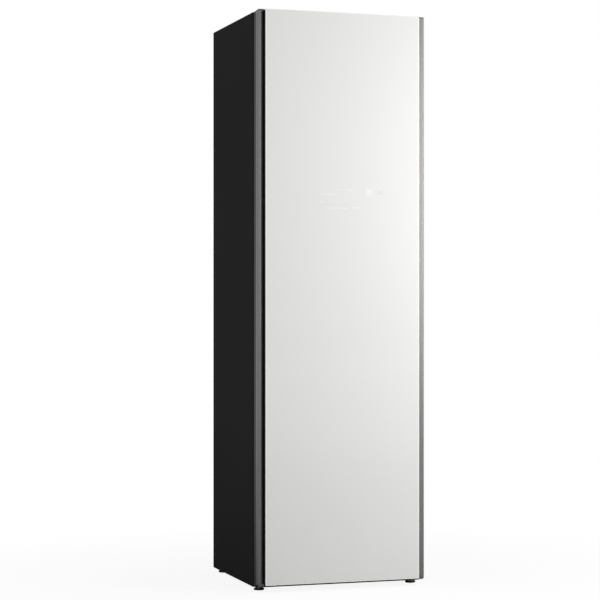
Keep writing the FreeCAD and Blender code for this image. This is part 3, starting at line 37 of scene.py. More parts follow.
# %% Load the measured model
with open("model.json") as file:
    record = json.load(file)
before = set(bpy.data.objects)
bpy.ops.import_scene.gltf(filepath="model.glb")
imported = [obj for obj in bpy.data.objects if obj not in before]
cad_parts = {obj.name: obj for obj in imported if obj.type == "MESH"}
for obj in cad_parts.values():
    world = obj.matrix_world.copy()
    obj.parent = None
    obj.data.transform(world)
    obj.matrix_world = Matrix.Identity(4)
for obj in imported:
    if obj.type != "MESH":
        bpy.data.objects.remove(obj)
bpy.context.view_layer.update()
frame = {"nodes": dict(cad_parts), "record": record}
MM = 0.001
slot_of = {part["node"]: part["material_slot"] for part in frame["record"]["subparts"]}

# %% [markdown]
# ## Shader maths written as Python
# A material is a tree of nodes. Wiring each one by hand hides the idea, so a small class wraps an
# output socket and turns + - * into Math nodes. Every other node comes from one method, which
# sets the node's options first and its sockets after that. The background behind the cabinet is a
# tree of nodes too, so the same class can make a world in place of a material.


# %% A value that can be added and multiplied
class Value:
    """One output socket of a finish, used like a number."""

    def __init__(self, finish, socket):
        self.finish, self.socket = finish, socket

    def maths(self, operation, first, second):
        return self.finish.node("ShaderNodeMath", {"operation": operation}, {0: first, 1: second})

    def __add__(self, other):
        return self.maths("ADD", self, other)

    def __sub__(self, other):
        return self.maths("SUBTRACT", self, other)

    def __rsub__(self, other):
        return self.maths("SUBTRACT", other, self)

    def __mul__(self, other):
        return self.maths("MULTIPLY", self, other)

    __radd__ = __add__
    __rmul__ = __mul__


# %% A finish: one material and its nodes
class Finish:
    """A material, or a world, that is described by its patterns and then closed."""

    def __init__(self, name, library="materials"):
        self.material = getattr(bpy.data, library).new(name)
        self.material.use_nodes = True
        self.tree = self.material.node_tree
        self.tree.nodes.clear()
        self.place = self.node("ShaderNodeTexCoord", output="Object")

    def node(self, kind, settings=None, inputs=None, output=0):
        made = self.tree.nodes.new(kind)
        for key, value in (settings or {}).items():
            if key == "stops":
                ramp = made.color_ramp.elements
                ramp[0].position, ramp[1].position = value
            else:
                setattr(made, key, value)
        for key, value in (inputs or {}).items():
            if isinstance(value, Value):
                self.tree.links.new(value.socket, made.inputs[key])
            else:
                made.inputs[key].default_value = value
        return Value(self, made.outputs[output])

    def stretched(self, scale):
        return self.node("ShaderNodeMapping", {}, {"Vector": self.place, "Scale": scale})

    def noise(self, scale, detail=3.0, stretch=(1, 1, 1)):
        where = self.stretched(stretch)
        inputs = {"Vector": where, "Scale": scale, "Detail": detail}
        return self.node("ShaderNodeTexNoise", {}, inputs)

    def cells(self, scale, feature="F1", output=0):
        inputs = {"Vector": self.place, "Scale": scale}
        return self.node("ShaderNodeTexVoronoi", {"feature": feature}, inputs, output)

    def above(self, value, start, end):
        """0 below start, 1 above end."""
        return self.node("ShaderNodeValToRGB", {"stops": (start, end)}, {"Fac": value})

    def mix(self, share, first, second):
        inputs = {0: share, 6: first, 7: second}
        return self.node("ShaderNodeMix", {"data_type": "RGBA"}, inputs, 2)

    def bump(self, height, depth, strength=1.0):
        return self.node(
            "ShaderNodeBump", {}, {"Height": height, "Distance": depth, "Strength": strength}
        )

    def surface(self, colour, roughness, **more):
        inputs = {"Base Color": colour, "Roughness": roughness}
        inputs.update({name.replace("_", " "): value for name, value in more.items()})
        return self.close(self.node("ShaderNodeBsdfPrincipled", {}, inputs))

    def close(self, shader, kind="ShaderNodeOutputMaterial"):
        out = self.tree.nodes.new(kind)
        self.tree.links.new(shader.socket, out.inputs["Surface"])
        return self.material


# %% Colours are written as a screen shows them
def tint(red, green, blue, times=1.0):
    """0 to 255 screen values as the linear colour that a shader needs."""
    values = [v / 255 for v in (red, green, blue)]
    linear = [v / 12.92 if v <= 0.04045 else ((v + 0.055) / 1.055) ** 2.4 for v in values]
    return (*[min(1.0, v * times) for v in linear], 1.0)


print("mid grey", [round(v, 3) for v in tint(128, 128, 128)])

# %% [markdown]
# ## Glass with paint behind it
# The front is a sheet of tempered glass, painted off-white on its back. Real transparency would
# cost render time and show nothing more, because the paint stops all light. So the paint is the
# base colour and the glass is a clear coat over it. Tempered glass leaves its oven slightly wavy,
# and that wave is a very low, very wide bump. A narrow band along the edges is painted lighter
# than the rest: a painted highlight standing in for the light that the ground edges catch. It
# fades in over about two millimetres: its ramps have PER_METRE units to a metre and start near
# each edge, measured from the middle of the sheet.

# %% Painted glass
# The second colour is a painted highlight for the sheet's edges.
PAINT, EDGE_HIGHLIGHT = (237, 237, 235), (252, 252, 250)
GLASS_MIDDLE = 0.992
PER_METRE, SIDE_START, END_START = 300, 80.9, 289.3
GLOSS = {"Coat_Weight": 1.0, "Coat_Roughness": 0.04, "Specular_IOR_Level": 0.0}
glass = Finish("painted_glass")
wave = glass.noise(2.2, 1.0)
smear = glass.noise(14, 4.0, (1, 1, 0.4))
centred = glass.node(
    "ShaderNodeMapping", {}, {"Vector": glass.place, "Location": (0, 0, -GLASS_MIDDLE)}
)
spot = glass.node("ShaderNodeVectorMath", {"operation": "ABSOLUTE"}, {0: centred})
across = glass.node("ShaderNodeSeparateXYZ", {}, {0: spot}, "X")
along = glass.node("ShaderNodeSeparateXYZ", {}, {0: spot}, "Z")
# Painted highlight: a narrow band near each edge is painted lighter, standing in for light caught
# by the ground edges.
side_highlight = glass.above(PER_METRE * across - SIDE_START, 0.05, 0.75)
end_highlight = glass.above(PER_METRE * along - END_START, 0.05, 0.75)
painted_edge_highlight = glass.node("ShaderNodeMath", {"operation": "MAXIMUM"}, {0: side_highlight, 1: end_highlight})
coat = glass.mix(wave, tint(*PAINT, 0.985), tint(*PAINT, 1.015))
painted_glass = glass.surface(
    glass.mix(painted_edge_highlight, coat, tint(*EDGE_HIGHLIGHT)),
    0.34 + 0.06 * smear,
    Normal=glass.bump(wave, 0.6 * MM, 0.25),
    **GLOSS,
)
print(painted_glass.name)

# %% [markdown]
# The display's marks shine through the paint from behind and are off here, so they are only a
# shade away from it. Three finishes are enough: one lighter, one a little darker and one clearly
# darker than the glass. They keep the glass's gloss, so a reflection runs over them unbroken.


# %% Display marks, light, dim and dark
def mark_finish(name, times):
    finish = Finish(name)
    share = finish.noise(60)
    return finish.surface(
        finish.mix(share, tint(*PAINT, times * 0.99), tint(*PAINT, times * 1.01)), 0.36, **GLOSS
    )


mark_light = mark_finish("mark_light", 1.06)
mark_dim = mark_finish("mark_dim", 0.965)
mark_dark = mark_finish("mark_dark", 0.88)
print(mark_light.name, mark_dim.name, mark_dark.name)

# %% [markdown]
# ## Brushed and anodised trim
# The door's side trims are aluminium extrusions, brushed along their length and dyed dark grey.
# Brushing is noise that is squeezed across the bar and stretched along it. It changes the
# roughness and a very shallow bump, and that makes the long soft highlight of real trim. Their
# end caps are plastic with a metallic lacquer.


# %% Brushed metal
def brushed(name, colour, roughness, stretch, depth=0.01, metal=1.0):
    finish = Finish(name)
    lines = finish.noise(60, 5.0, stretch)
    drift = finish.noise(3)
    return finish.surface(
        finish.mix(drift, tint(*colour, 0.93), tint(*colour, 1.07)),
        roughness - 0.06 + 0.12 * lines,
        Metallic=metal,
        Normal=finish.bump(lines, depth * MM, 0.6),
    )


trim_metal = brushed("trim_metal", (124, 123, 123), 0.46, (30, 30, 0.25), metal=0.85)
steel = brushed("steel", (205, 205, 206), 0.3, (1, 30, 30))
print(trim_metal.name, steel.name)

# %% [markdown]
# ## Powder-coated sheet
# The case is steel sheet with a black powder coat. Powder melts into a fine orange-peel skin, so
# the finish has tiny bumps about a millimetre apart and a broad, weak shine.


# %% Painted steel
def powder_coat(name, colour, roughness, shine):
    finish = Finish(name)
    peel = finish.noise(900, 2.0)
    drift = finish.noise(2.5)
    return finish.surface(
        finish.mix(drift, tint(*colour, 0.9), tint(*colour, 1.1)),
        roughness - 0.05 + 0.1 * peel,
        Normal=finish.bump(peel, 0.05 * MM, 0.5),
        Specular_IOR_Level=shine,
    )


case_paint = powder_coat("case_paint", (42, 42, 43), 0.65, 0.01)
motor_black = powder_coat("motor_black", (44, 44, 46), 0.42, 0.4)
print(case_paint.name, motor_black.name)

# %% [markdown]
# ## Moulded plastic
# Most inner walls are moulded. The mould's face is spark-eroded, and the plastic copies its fine
# even grain. One function serves every plastic. What differs is the colour, how coarse the grain
# is, and how much it shines.


# %% Moulded plastics
def moulded(name, colour, roughness, grain=700, depth=0.04, **more):
    finish = Finish(name)
    pits = finish.noise(grain, 2.0)
    drift = finish.noise(4)
    return finish.surface(
        finish.mix(drift, tint(*colour, 0.96), tint(*colour, 1.04)),
        roughness - 0.06 + 0.12 * pits,
        Normal=finish.bump(pits, depth * MM, 0.5),
        **more,
    )


black_plastic = moulded("black_plastic", (34, 33, 33), 0.5, Specular_IOR_Level=0.3)
cap_plastic = moulded("cap_plastic", (108, 107, 107), 0.48, Metallic=0.7)
bearing_plastic = moulded("bearing_plastic", (235, 232, 220), 0.4)
cabin_plastic = moulded("cabin_plastic", (214, 214, 212), 0.42, grain=500)
press_plastic = moulded("press_plastic", (128, 128, 130), 0.5, grain=400)
hanger_plastic = moulded("hanger_plastic", (58, 58, 60), 0.38, grain=900)
foot_plastic = moulded("foot_plastic", (38, 38, 38), 0.6, Specular_IOR_Level=0.3)
tank_plastic = moulded("tank_plastic", (150, 164, 174), 0.16, grain=40, depth=0.01, Alpha=0.8)
print("moulded plastics ready")

# %% [markdown]
# ## Rubber and hose
# Rubber is matt and slightly uneven. The clear hoses are silicone, which is milky and smoother.

# %% Rubber
seal_rubber = moulded("seal_rubber", (66, 66, 68), 0.75, grain=300, depth=0.08)
hose_rubber = moulded("hose_rubber", (214, 214, 208), 0.35, grain=120)
print(seal_rubber.name, hose_rubber.name)

# %% [markdown]
# ## Zinc-coated steel
# Hidden sheet parts are galvanised. Zinc freezes into flat crystals, each of which shines its own
# way. Voronoi cells have that shape, and each cell's own grey drives colour and roughness.

# %% Galvanised sheet
zinc = Finish("zinc_steel")
crystal = zinc.node("ShaderNodeSeparateColor", {}, {"Color": zinc.cells(90, output=1)})
zinc_steel = zinc.surface(
    zinc.mix(crystal, tint(180, 182, 185), tint(192, 194, 196)),
    0.42 + 0.06 * crystal,
    Metallic=0.7,
    Normal=zinc.bump(crystal, 0.01 * MM, 0.2),
)
print(zinc_steel.name)

# %% [markdown]
# ## Cast alloy, copper and foam
# The exchanger's fins and the carriage are plain aluminium. Copper pipes darken in patches where
# they were brazed. Foam is a mass of small bubbles, so its bump comes from small cells.

# %% Alloy, copper and foam
alloy = brushed("alloy", (214, 215, 217), 0.4, (6, 6, 6), 0.02)
pipe = Finish("copper")
patina = pipe.above(pipe.noise(22, 5.0), 0.42, 0.68)
copper = pipe.surface(
    pipe.mix(patina, tint(214, 132, 92), tint(122, 70, 48)), 0.24 + 0.3 * patina, Metallic=1.0
)
bubbles = Finish("foam")
froth = bubbles.cells(380)
foam = bubbles.surface(
    bubbles.mix(froth, tint(240, 228, 184), tint(214, 198, 150)),
    0.85,
    Normal=bubbles.bump(froth, 0.5 * MM, 0.6),
)
print(alloy.name, copper.name, foam.name)

# %% [markdown]
# ## Circuit board
# The green lacquer lies over copper tracks and lets them show as lighter lines. A brick pattern
# gives right-angled tracks of even width.

# %% Circuit board
board = Finish("circuit_board")
turned = board.node(
    "ShaderNodeMapping", {}, {"Vector": board.place, "Rotation": (math.pi / 2, 0, 0)}
)
tracks = board.node(
    "ShaderNodeTexBrick",
    {"offset": 0.37},
    {
        "Vector": turned,
        "Scale": 60.0,
        "Mortar Size": 0.05,
        "Color1": tint(18, 74, 44),
        "Color2": tint(22, 82, 50),
        "Mortar": tint(64, 128, 84),
    },
)
circuit_board = board.surface(tracks, 0.32, Coat_Weight=0.4)
print(circuit_board.name)

# %% [markdown]
# ## Lamp cover
# The cabin lamp has a frosted cover. It is off while the door is shut, but a little emission keeps
# it lively when the door stands open.

# %% Lamp cover
lamp = Finish("lamp_cover")
frost = lamp.noise(400)
lamp_cover = lamp.surface(
    lamp.mix(frost, tint(246, 246, 242), tint(255, 255, 252)),
    0.4 + 0.1 * frost,
    Emission_Color=lamp.mix(frost, tint(255, 247, 232), tint(255, 252, 244)),
    Emission_Strength=1.2,
)
print(lamp_cover.name)

# %% [markdown]
# ## Which finish goes where
# The record gives every piece a material slot. This table says which finish fills each slot, so
# that measured pieces and new ones of the same material match.

# %% The finish of each material slot
FINISHES = {
    "panel_glass": painted_glass,
    "graphite_trim": trim_metal,
    "black_plastic": black_plastic,
    "cap_plastic": cap_plastic,
    "circuit_board": circuit_board,
    "bearing_plastic": bearing_plastic,
    "foam": foam,
    "cabin_plastic": cabin_plastic,
    "seal_rubber": seal_rubber,
    "press_plastic": press_plastic,
    "case_paint": case_paint,
    "zinc_steel": zinc_steel,
    "steel": steel,
    "alloy": alloy,
    "copper": copper,
    "lamp_cover": lamp_cover,
    "tank_plastic": tank_plastic,
    "hose_rubber": hose_rubber,
    "motor_black": motor_black,
    "hanger_plastic": hanger_plastic,
    "foot_plastic": foot_plastic,
}
print("finishes", len(FINISHES))

# %% [markdown]
# ## A few modelling helpers
# Every new piece starts from a box, a circle or a short outline, and is shaped by operators. The
# helpers below add a box between two corners, round some of its edges, push the new end of an
# extrusion, and turn the result into an object that rides on its body. Shading is smooth, except
# where two faces meet at a clear angle, and large faces keep the last word on the normals so that
# they still look flat.


# %% Box, rounding and edge picking
SAME = 1e-6  # two places nearer than this are one


def box_in(bm, low, high):
    """Adds a box between two corners and returns its vertices."""
    low, high = Vector(low), Vector(high)
    made = bmesh.ops.create_cube(bm, size=1.0)
    place = Matrix.Translation((low + high) / 2) @ Matrix.Diagonal((*(high - low), 1.0))
    bmesh.ops.transform(bm, matrix=place, verts=made["verts"])
    return made["verts"]


def edges_of(verts, test=lambda middle, along: True):
    """Edges between these vertices whose middle and direction pass a test, in a fixed order."""
    chosen, kept = set(verts), []
    for edge in dict.fromkeys(e for v in verts for e in v.link_edges):
        a, b = edge.verts
        if a in chosen and b in chosen:
            if test((a.co + b.co) / 2, (b.co - a.co).normalized()):
                kept.append(edge)
    return kept


def running(axis):
    """A test for edges_of that keeps the edges along x, y or z."""
    return lambda middle, along: abs(getattr(along, axis)) > 0.9


def rounded(bm, edges, radius, segments=3):
    bmesh.ops.bevel(
        bm,
        geom=edges,
        offset=radius,
        offset_type="OFFSET",
        affect="EDGES",
        segments=segments,
        profile=0.5,
        material=-1,
        clamp_overlap=True,
    )


def push_end(bm, step, by):
    """Moves the vertices that an extrusion has just made."""
    ends = [v for v in step["geom"] if isinstance(v, bmesh.types.BMVert)]
    bmesh.ops.translate(bm, verts=ends, vec=by)


# %% Turn a mesh into a piece of the cabinet
def mesh_of(bm, name):
    mesh = bpy.data.meshes.new(name)
    bm.to_mesh(mesh)
    bm.free()
    return mesh


def placed(name, data):
    made = bpy.data.objects.new(name, data)
    bpy.context.scene.collection.objects.link(made)
    return made


def piece(bm, name, body, slot, stands_for=(), finish=None, flip=False, sharp=35):
    """Merges doubles, points faces outwards, gives the finish and puts the piece on its body."""
    bmesh.ops.remove_doubles(bm, verts=bm.verts, dist=SAME)
    if flip:
        bmesh.ops.transform(bm, matrix=Matrix.Scale(-1, 4, (1, 0, 0)), verts=bm.verts)
    bmesh.ops.recalc_face_normals(bm, faces=bm.faces)
    mesh = mesh_of(bm, name)
    mesh.polygons.foreach_set("use_smooth", [True] * len(mesh.polygons))
    mesh.set_sharp_from_angle(angle=math.radians(sharp))
    made = placed(name, mesh)
    mesh.materials.append(finish or FINISHES[slot])
    made.modifiers.new("even_shading", "WEIGHTED_NORMAL").keep_sharp = True
    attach(made, body)
    if stands_for:
        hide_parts(*stands_for)
    print(name, len(mesh.polygons), "faces on", body)


# %% [markdown]
# ## The glass
# A tempered sheet has ground edges, never sharp ones, and its four corners are eased a little.
# Only bevels are needed: a wide one on the corners, then a narrow one round the face. The marks of
# the display have to stay inside the measured depth, so the sheet stops a tenth of a millimetre
# short of it.

# %% Glass sheet
MARK_ROOM, MARK_HIGH = 0.1 * MM, 0.08 * MM
CORNER, GROUND_EDGE = 1.5 * MM, 0.8 * MM
low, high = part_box("door_glass")
face_y = low.y + MARK_ROOM
bm = bmesh.new()
verts = box_in(bm, (low.x, face_y, low.z), high)
rounded(bm, edges_of(verts, running("y")), CORNER, 4)
front = [e for e in bm.edges if all(abs(v.co.y - face_y) < SAME for v in e.verts)]
rounded(bm, front, GROUND_EDGE)
piece(bm, "glass_sheet", "door", "panel_glass", ["door_glass"])

# %% [markdown]
# ## The display's marks
# Faint signs show through the glass: short bars for the lines of text, a row of round signs, one
# upright key and a small corner sign. They carry no words. Each mark is a thin tile that stands a
# hair in front of the sheet. Bars are bevelled boxes, and rings are a circle's outline given a
# width. Places and widths are in millimetres on the face of the door.


# %% Bars and rings
def bar_mark(bm, x, z, width, height):
    """A tile from its lower left corner, in millimetres, with almost round ends."""
    near, far = (x * MM, face_y - MARK_HIGH, z * MM), ((x + width) * MM, face_y, (z + height) * MM)
    corners = edges_of(box_in(bm, near, far), running("y"))
    rounded(bm, corners, 0.45 * min(width, height) * MM)


def ring_mark(bm, x, z, radius, width):
    """A flat ring about a centre, in millimetres."""
    facing = Matrix.Rotation(math.pi / 2, 4, "X")
    turn = Matrix.Translation((x * MM, face_y - MARK_HIGH, z * MM)) @ facing
    disc = bmesh.ops.create_circle(
        bm, cap_ends=True, radius=radius * MM, segments=28, matrix=turn
    )
    face = disc["verts"][0].link_faces[0]
    step = bmesh.ops.inset_region(
        bm, faces=[face], thickness=width * MM, use_even_offset=True, use_boundary=True
    )
    bmesh.ops.delete(bm, geom=[face], context="FACES_ONLY")
    push_end(bm, bmesh.ops.extrude_face_region(bm, geom=step["faces"]), (0, MARK_HIGH, 0))


# %% Light, dim and dark marks
LINES = (
    (-74, 1340, 46),
    (-34, 1355, 23),
    (12, 1355, 26),
    (-87, 1314, 18),
    (-55, 1293, 71),
    (31, 1295, 29),
)
bm = bmesh.new()
for x, z, width in LINES:
    bar_mark(bm, x, z, width, 4)
for x in (-50, -22, 6, 34):
    ring_mark(bm, x, 1325, 7, 1.6)
bar_mark(bm, 81, 1338, 22, 26)
bar_mark(bm, 126, 1361, 6, 4)
bar_mark(bm, 129, 1337, 9, 3.5)
piece(bm, "marks_light", "door", "panel_glass", finish=mark_light)

bm = bmesh.new()
for x, z, width in ((-83, 1305, 64), (-13, 1304, 30), (-38, 1349.5, 27)):
    bar_mark(bm, x, z, width, 3)
piece(bm, "marks_dim", "door", "panel_glass", finish=mark_dim)

bm = bmesh.new()
bar_mark(bm, 126.5, 1349, 4, 9)
bar_mark(bm, 126.5, 1344, 12, 4)
piece(bm, "mark_corner", "door", "panel_glass", finish=mark_dark)

# %% [markdown]
# ## Side trims
# The trims are aluminium extrusions with a rounded outer edge. The left one is where the door is
# pulled, so its front falls away to the glass in a wide scoop for the fingers. The right one, at
# the hinges, runs straight up to the glass. A box with two bevelled edges gives both sections.
# The scoop is less than a quarter round, so its box starts a little too wide, and a plane cuts
# the surplus off where the trim meets the glass.


# %% Trims
OUTER_ROUND, SCOOP_ROUND, INNER_ROUND, SCOOP_SURPLUS = 6 * MM, 17 * MM, 2 * MM, 1 * MM


def trim(name, node, side, inner_round, surplus=0.0):
    low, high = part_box(node)
    outer, inner = (high.x, low.x) if side > 0 else (low.x, high.x)
    wide = inner - side * surplus
    bm = bmesh.new()
    for v in box_in(bm, low, high):
        v.co.x = wide if abs(v.co.x - inner) < SAME else v.co.x
    for x, radius, segments in ((outer, OUTER_ROUND, 8), (wide, inner_round, 24)):
        edge = [
            e
            for e in bm.edges
            if all(abs(v.co.x - x) < SAME and abs(v.co.y - low.y) < SAME for v in e.verts)
        ]
        rounded(bm, edge, radius, segments)
    if surplus:
        cut = bmesh.ops.bisect_plane(
            bm,
            geom=bm.verts[:] + bm.edges[:] + bm.faces[:],
            plane_co=(inner, 0, 0),
            plane_no=(-side, 0, 0),
            clear_outer=True,
        )
        rim = [e for e in cut["geom_cut"] if isinstance(e, bmesh.types.BMEdge)]
        bmesh.ops.holes_fill(bm, edges=rim)
    piece(bm, name, "door", "graphite_trim", [node])


trim("trim_bar_left", "trim_left", -1, SCOOP_ROUND, SCOOP_SURPLUS)
trim("trim_bar_right", "trim_right", 1, INNER_ROUND)

# %% [markdown]
# ## Side panels
# A side panel is one folded sheet: a large flat side with its front edge turned in. Real sheet
# can't fold to a sharp corner, and the small radius is what catches the light. The plan outline
# has three points. They are pulled up into a sheet, the fold is rounded, and the sheet then gets
# its thickness. The normals are settled before that, so that both skins come out right. The left
# panel is the right one mirrored.


# %% Folded sheet
SHEET, FOLD_ROUND = 1.0 * MM, 1.8 * MM


def folded_side(side, name, node):
    low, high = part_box("side_panel_right")
    bm = bmesh.new()
    plan = [(low.x, low.y), (high.x, low.y), (high.x, high.y)]
    foot = [bm.verts.new((x, y, low.z)) for x, y in plan]
    run = [bm.edges.new(pair) for pair in zip(foot, foot[1:])]
    push_end(bm, bmesh.ops.extrude_edge_only(bm, edges=run), (0, 0, high.z - low.z))
    fold = [e for e in bm.edges if all(v.co.xy == Vector(plan[1]).xy for v in e.verts)]
    rounded(bm, fold, FOLD_ROUND, 4)
    bmesh.ops.recalc_face_normals(bm, faces=bm.faces)
    widest = max(bm.faces, key=lambda f: f.calc_area())
    if widest.normal.x < 0:
        bmesh.ops.reverse_faces(bm, faces=bm.faces)
    bmesh.ops.solidify(bm, geom=bm.faces, thickness=SHEET)
    piece(bm, name, "cabinet", "case_paint", [node], flip=side < 0)


folded_side(-1, "side_skin_left", "side_panel_left")
folded_side(1, "side_skin_right", "side_panel_right")

# %% [markdown]
# ## Levelling feet
# Each foot has a round plastic pad, a steel hub with six sides for a spanner and a threaded stem.
# The pad and stem are turned parts, so they are spun from half an outline. The hub is a six-sided
# circle that is pulled up. The thread is a row of small teeth in the outline, which is enough at
# this size. The front feet turn and have a body each. The two rear ones are one piece.


# %% Spin an outline
UPRIGHT, ACROSS = (0, 0, 1), (1, 0, 0)


def spun(bm, outline, centre, axis=UPRIGHT, steps=40):
    """Spins an outline of (radius, height) points about an axis through centre."""
    if axis == UPRIGHT:
        points = [centre + Vector((r, 0, h)) for r, h in outline]
    else:
        points = [centre + Vector((h, r, 0)) for r, h in outline]
    verts = [bm.verts.new(p) for p in points]
    edges = [bm.edges.new(pair) for pair in zip(verts, verts[1:])]
    bmesh.ops.spin(
        bm,
        geom=verts + edges,
        cent=centre,
        axis=axis,
        dvec=(0, 0, 0),
        angle=2 * math.pi,
        steps=steps,
        use_merge=True,
        use_normal_flip=False,
        use_duplicate=False,
    )


# %% Foot sizes in millimetres
PAD_RADIUS, PAD_TOP, HUB_RADIUS, HUB_TOP, STEM_TOP = 18, 6.5, 8, 13.2, 23.2
PAD = (
    (0, 0),
    (16.2, 0),
    (17.7, 1.3),
    (PAD_RADIUS, 2.5),
    (PAD_RADIUS, 4.5),
    (17.2, 5.8),
    (12, PAD_TOP),
    (0, PAD_TOP),
)
THREAD_ROOT, THREAD_CREST, CREST_RISE, PITCH, TURNS = 4.3, 4.95, 0.6, 1.25, 8


# %% Pads and stems
def add_pad(bm, x, y):
    spun(bm, [(r * MM, h * MM) for r, h in PAD], Vector((x, y, 0)))


def add_stem(bm, x, y):
    low = Matrix.Translation((x, y, PAD_TOP * MM))
    hub = bmesh.ops.create_circle(
        bm, cap_ends=True, radius=HUB_RADIUS * MM, segments=6, matrix=low
    )
    lifted = bmesh.ops.extrude_face_region(bm, geom=[hub["verts"][0].link_faces[0]])
    push_end(bm, lifted, (0, 0, (HUB_TOP - PAD_TOP) * MM))
    thread = [(0, HUB_TOP)]
    for k in range(TURNS):
        thread.append((THREAD_ROOT, HUB_TOP + PITCH * k))
        thread.append((THREAD_CREST, HUB_TOP + CREST_RISE + PITCH * k))
    thread += [(THREAD_ROOT, STEM_TOP), (0, STEM_TOP)]
    spun(bm, [(r * MM, h * MM) for r, h in thread], Vector((x, y, 0)), steps=24)


for name, body, node in (
    ("foot_left", "foot_left", "foot_front_left"),
    ("foot_right", "foot_right", "foot_front_right"),
    ("feet_rear", "cabinet", "rear_feet"),
):
    low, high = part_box(node)
    y = (low.y + high.y) / 2
    first, last = low.x + PAD_RADIUS * MM, high.x - PAD_RADIUS * MM
    places = (first, last) if last - first > MM else (first,)
    for part, add, slot in (("pad", add_pad, "foot_plastic"), ("stem", add_stem, "steel")):
        bm = bmesh.new()
        for x in places:
            add(bm, x, y)
        piece(bm, f"{name}_{part}", body, slot, [node])

# %% [markdown]
# ## Door seal
# The magnetic seal is a soft bellows with a flat magnet strip on top. It goes round the door in
# one loop. A frame like that comes from one rectangle: each inset takes a step inwards, and its
# depth raises or lowers that step. The steps climb over the base, the neck, the bellows and half
# of the magnet strip, and go down again the same way. The last inner face is then removed, and
# the two open rims are bridged to close the underside.


# %% Frame with a stepped section
def stepped_frame(bm, low, high, steps):
    """A rectangle facing +Y, inset step by step, then opened in the middle and closed behind."""
    corners = ((low.x, low.z), (low.x, high.z), (high.x, high.z), (high.x, low.z))
    face = bm.faces.new([bm.verts.new((x, low.y, z)) for x, z in corners])
    bm.normal_update()
    if face.normal.y < 0:
        face.normal_flip()
    for inward, rise in steps:
        bmesh.ops.inset_region(
            bm,
            faces=[face],
            thickness=inward * MM,
            depth=rise * MM,
            use_even_offset=True,
            use_boundary=True,
        )
    bmesh.ops.delete(bm, geom=[face], context="FACES_ONLY")
    rims = [e for e in bm.edges if e.is_boundary]
    bmesh.ops.bridge_loops(bm, edges=rims)


# %% Seal
BASE_HIGH, NECK_HIGH = 2.0, 3.2
low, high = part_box("door_gasket")
left_over = (high.y - low.y) / MM - BASE_HIGH - NECK_HIGH
outer_half = (
    (0.0, BASE_HIGH),
    (0.7, 0.0),
    (0.4, NECK_HIGH),
    (1.0, left_over),
    (1.9, 0.0),
    (0.3, -0.5),
)
inner_half = tuple((inward, -rise) for inward, rise in reversed(outer_half))
bm = bmesh.new()
stepped_frame(bm, low, high, outer_half + ((0.4, 0.0),) + inner_half)
piece(bm, "seal_bellows", "door", "seal_rubber", ["door_gasket"])

# %% [markdown]
# ## Door liner
# The inner face of the door is formed over a mould. It has a raised border and a sunk field, with
# a soft slope between them. Two insets on the back face of a thin box give exactly that.

# %% Door liner
RIM_WIDE, SLOPE_WIDE, SUNK, FIELD_ROUND = 22 * MM, 3 * MM, 1.2 * MM, 0.8 * MM
low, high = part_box("door_liner")
bm = bmesh.new()
box_in(bm, low, high)
field = max(bm.faces, key=lambda f: f.calc_center_median().y)
for wide, depth in ((RIM_WIDE, 0), (SLOPE_WIDE, -SUNK)):
    bmesh.ops.inset_region(bm, faces=[field], thickness=wide, depth=depth, use_even_offset=True)
rounded(bm, list(field.edges), FIELD_ROUND)
piece(bm, "liner_pan", "door", "cabin_plastic", ["door_liner"])

# %% [markdown]
# ## Trouser press
# The flap presses trousers against the board. It is a stiff plate, so its outer face has a row of
# shallow pockets between ribs. Cutting the face into strips and insetting each strip by itself
# leaves the ribs standing. Its hinge knuckle is a round bar down the right edge.

# %% Press flap
KNUCKLE, HINGE_Y, PLATE, PLATE_GAP = 6.5 * MM, -214.5 * MM, 12 * MM, 5 * MM
RIB_HALF, POCKET_SLOPE, POCKET_DEEP, PLATE_ROUND = 7 * MM, 2.5 * MM, 3 * MM, 1.5 * MM
low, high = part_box("press_flap")
hinge_x = high.x - KNUCKLE
bm = bmesh.new()
verts = box_in(bm, low, (hinge_x - PLATE_GAP, low.y + PLATE, high.z))
bmesh.ops.subdivide_edges(bm, edges=edges_of(verts, running("z")), cuts=7, use_grid_fill=True)
strips = [f for f in bm.faces if f.normal.y > 0.9]
for wide, depth in ((RIB_HALF, 0), (POCKET_SLOPE, -POCKET_DEEP)):
    bmesh.ops.inset_individual(
        bm, faces=strips, thickness=wide, depth=depth, use_even_offset=True
    )
outer_edges = [e for e in bm.edges if e.calc_face_angle(0) > math.radians(80)]
rounded(bm, outer_edges, PLATE_ROUND)
bmesh.ops.create_cone(
    bm,
    cap_ends=True,
    segments=32,
    radius1=KNUCKLE,
    radius2=KNUCKLE,
    depth=high.z - low.z,
    matrix=Matrix.Translation((hinge_x, HINGE_Y, (low.z + high.z) / 2)),
)
piece(bm, "press_flap_ribbed", "press_flap", "press_plastic", ["press_flap"])

# %% [markdown]
# ## Hanger bar
# The bar is turned, with a shallow neck at each hanger's place so that hangers keep their spacing
# as the bar swings. Half of its outline is spun about the bar's own axis. Two flat arms hang it
# from the carriage above the ceiling.

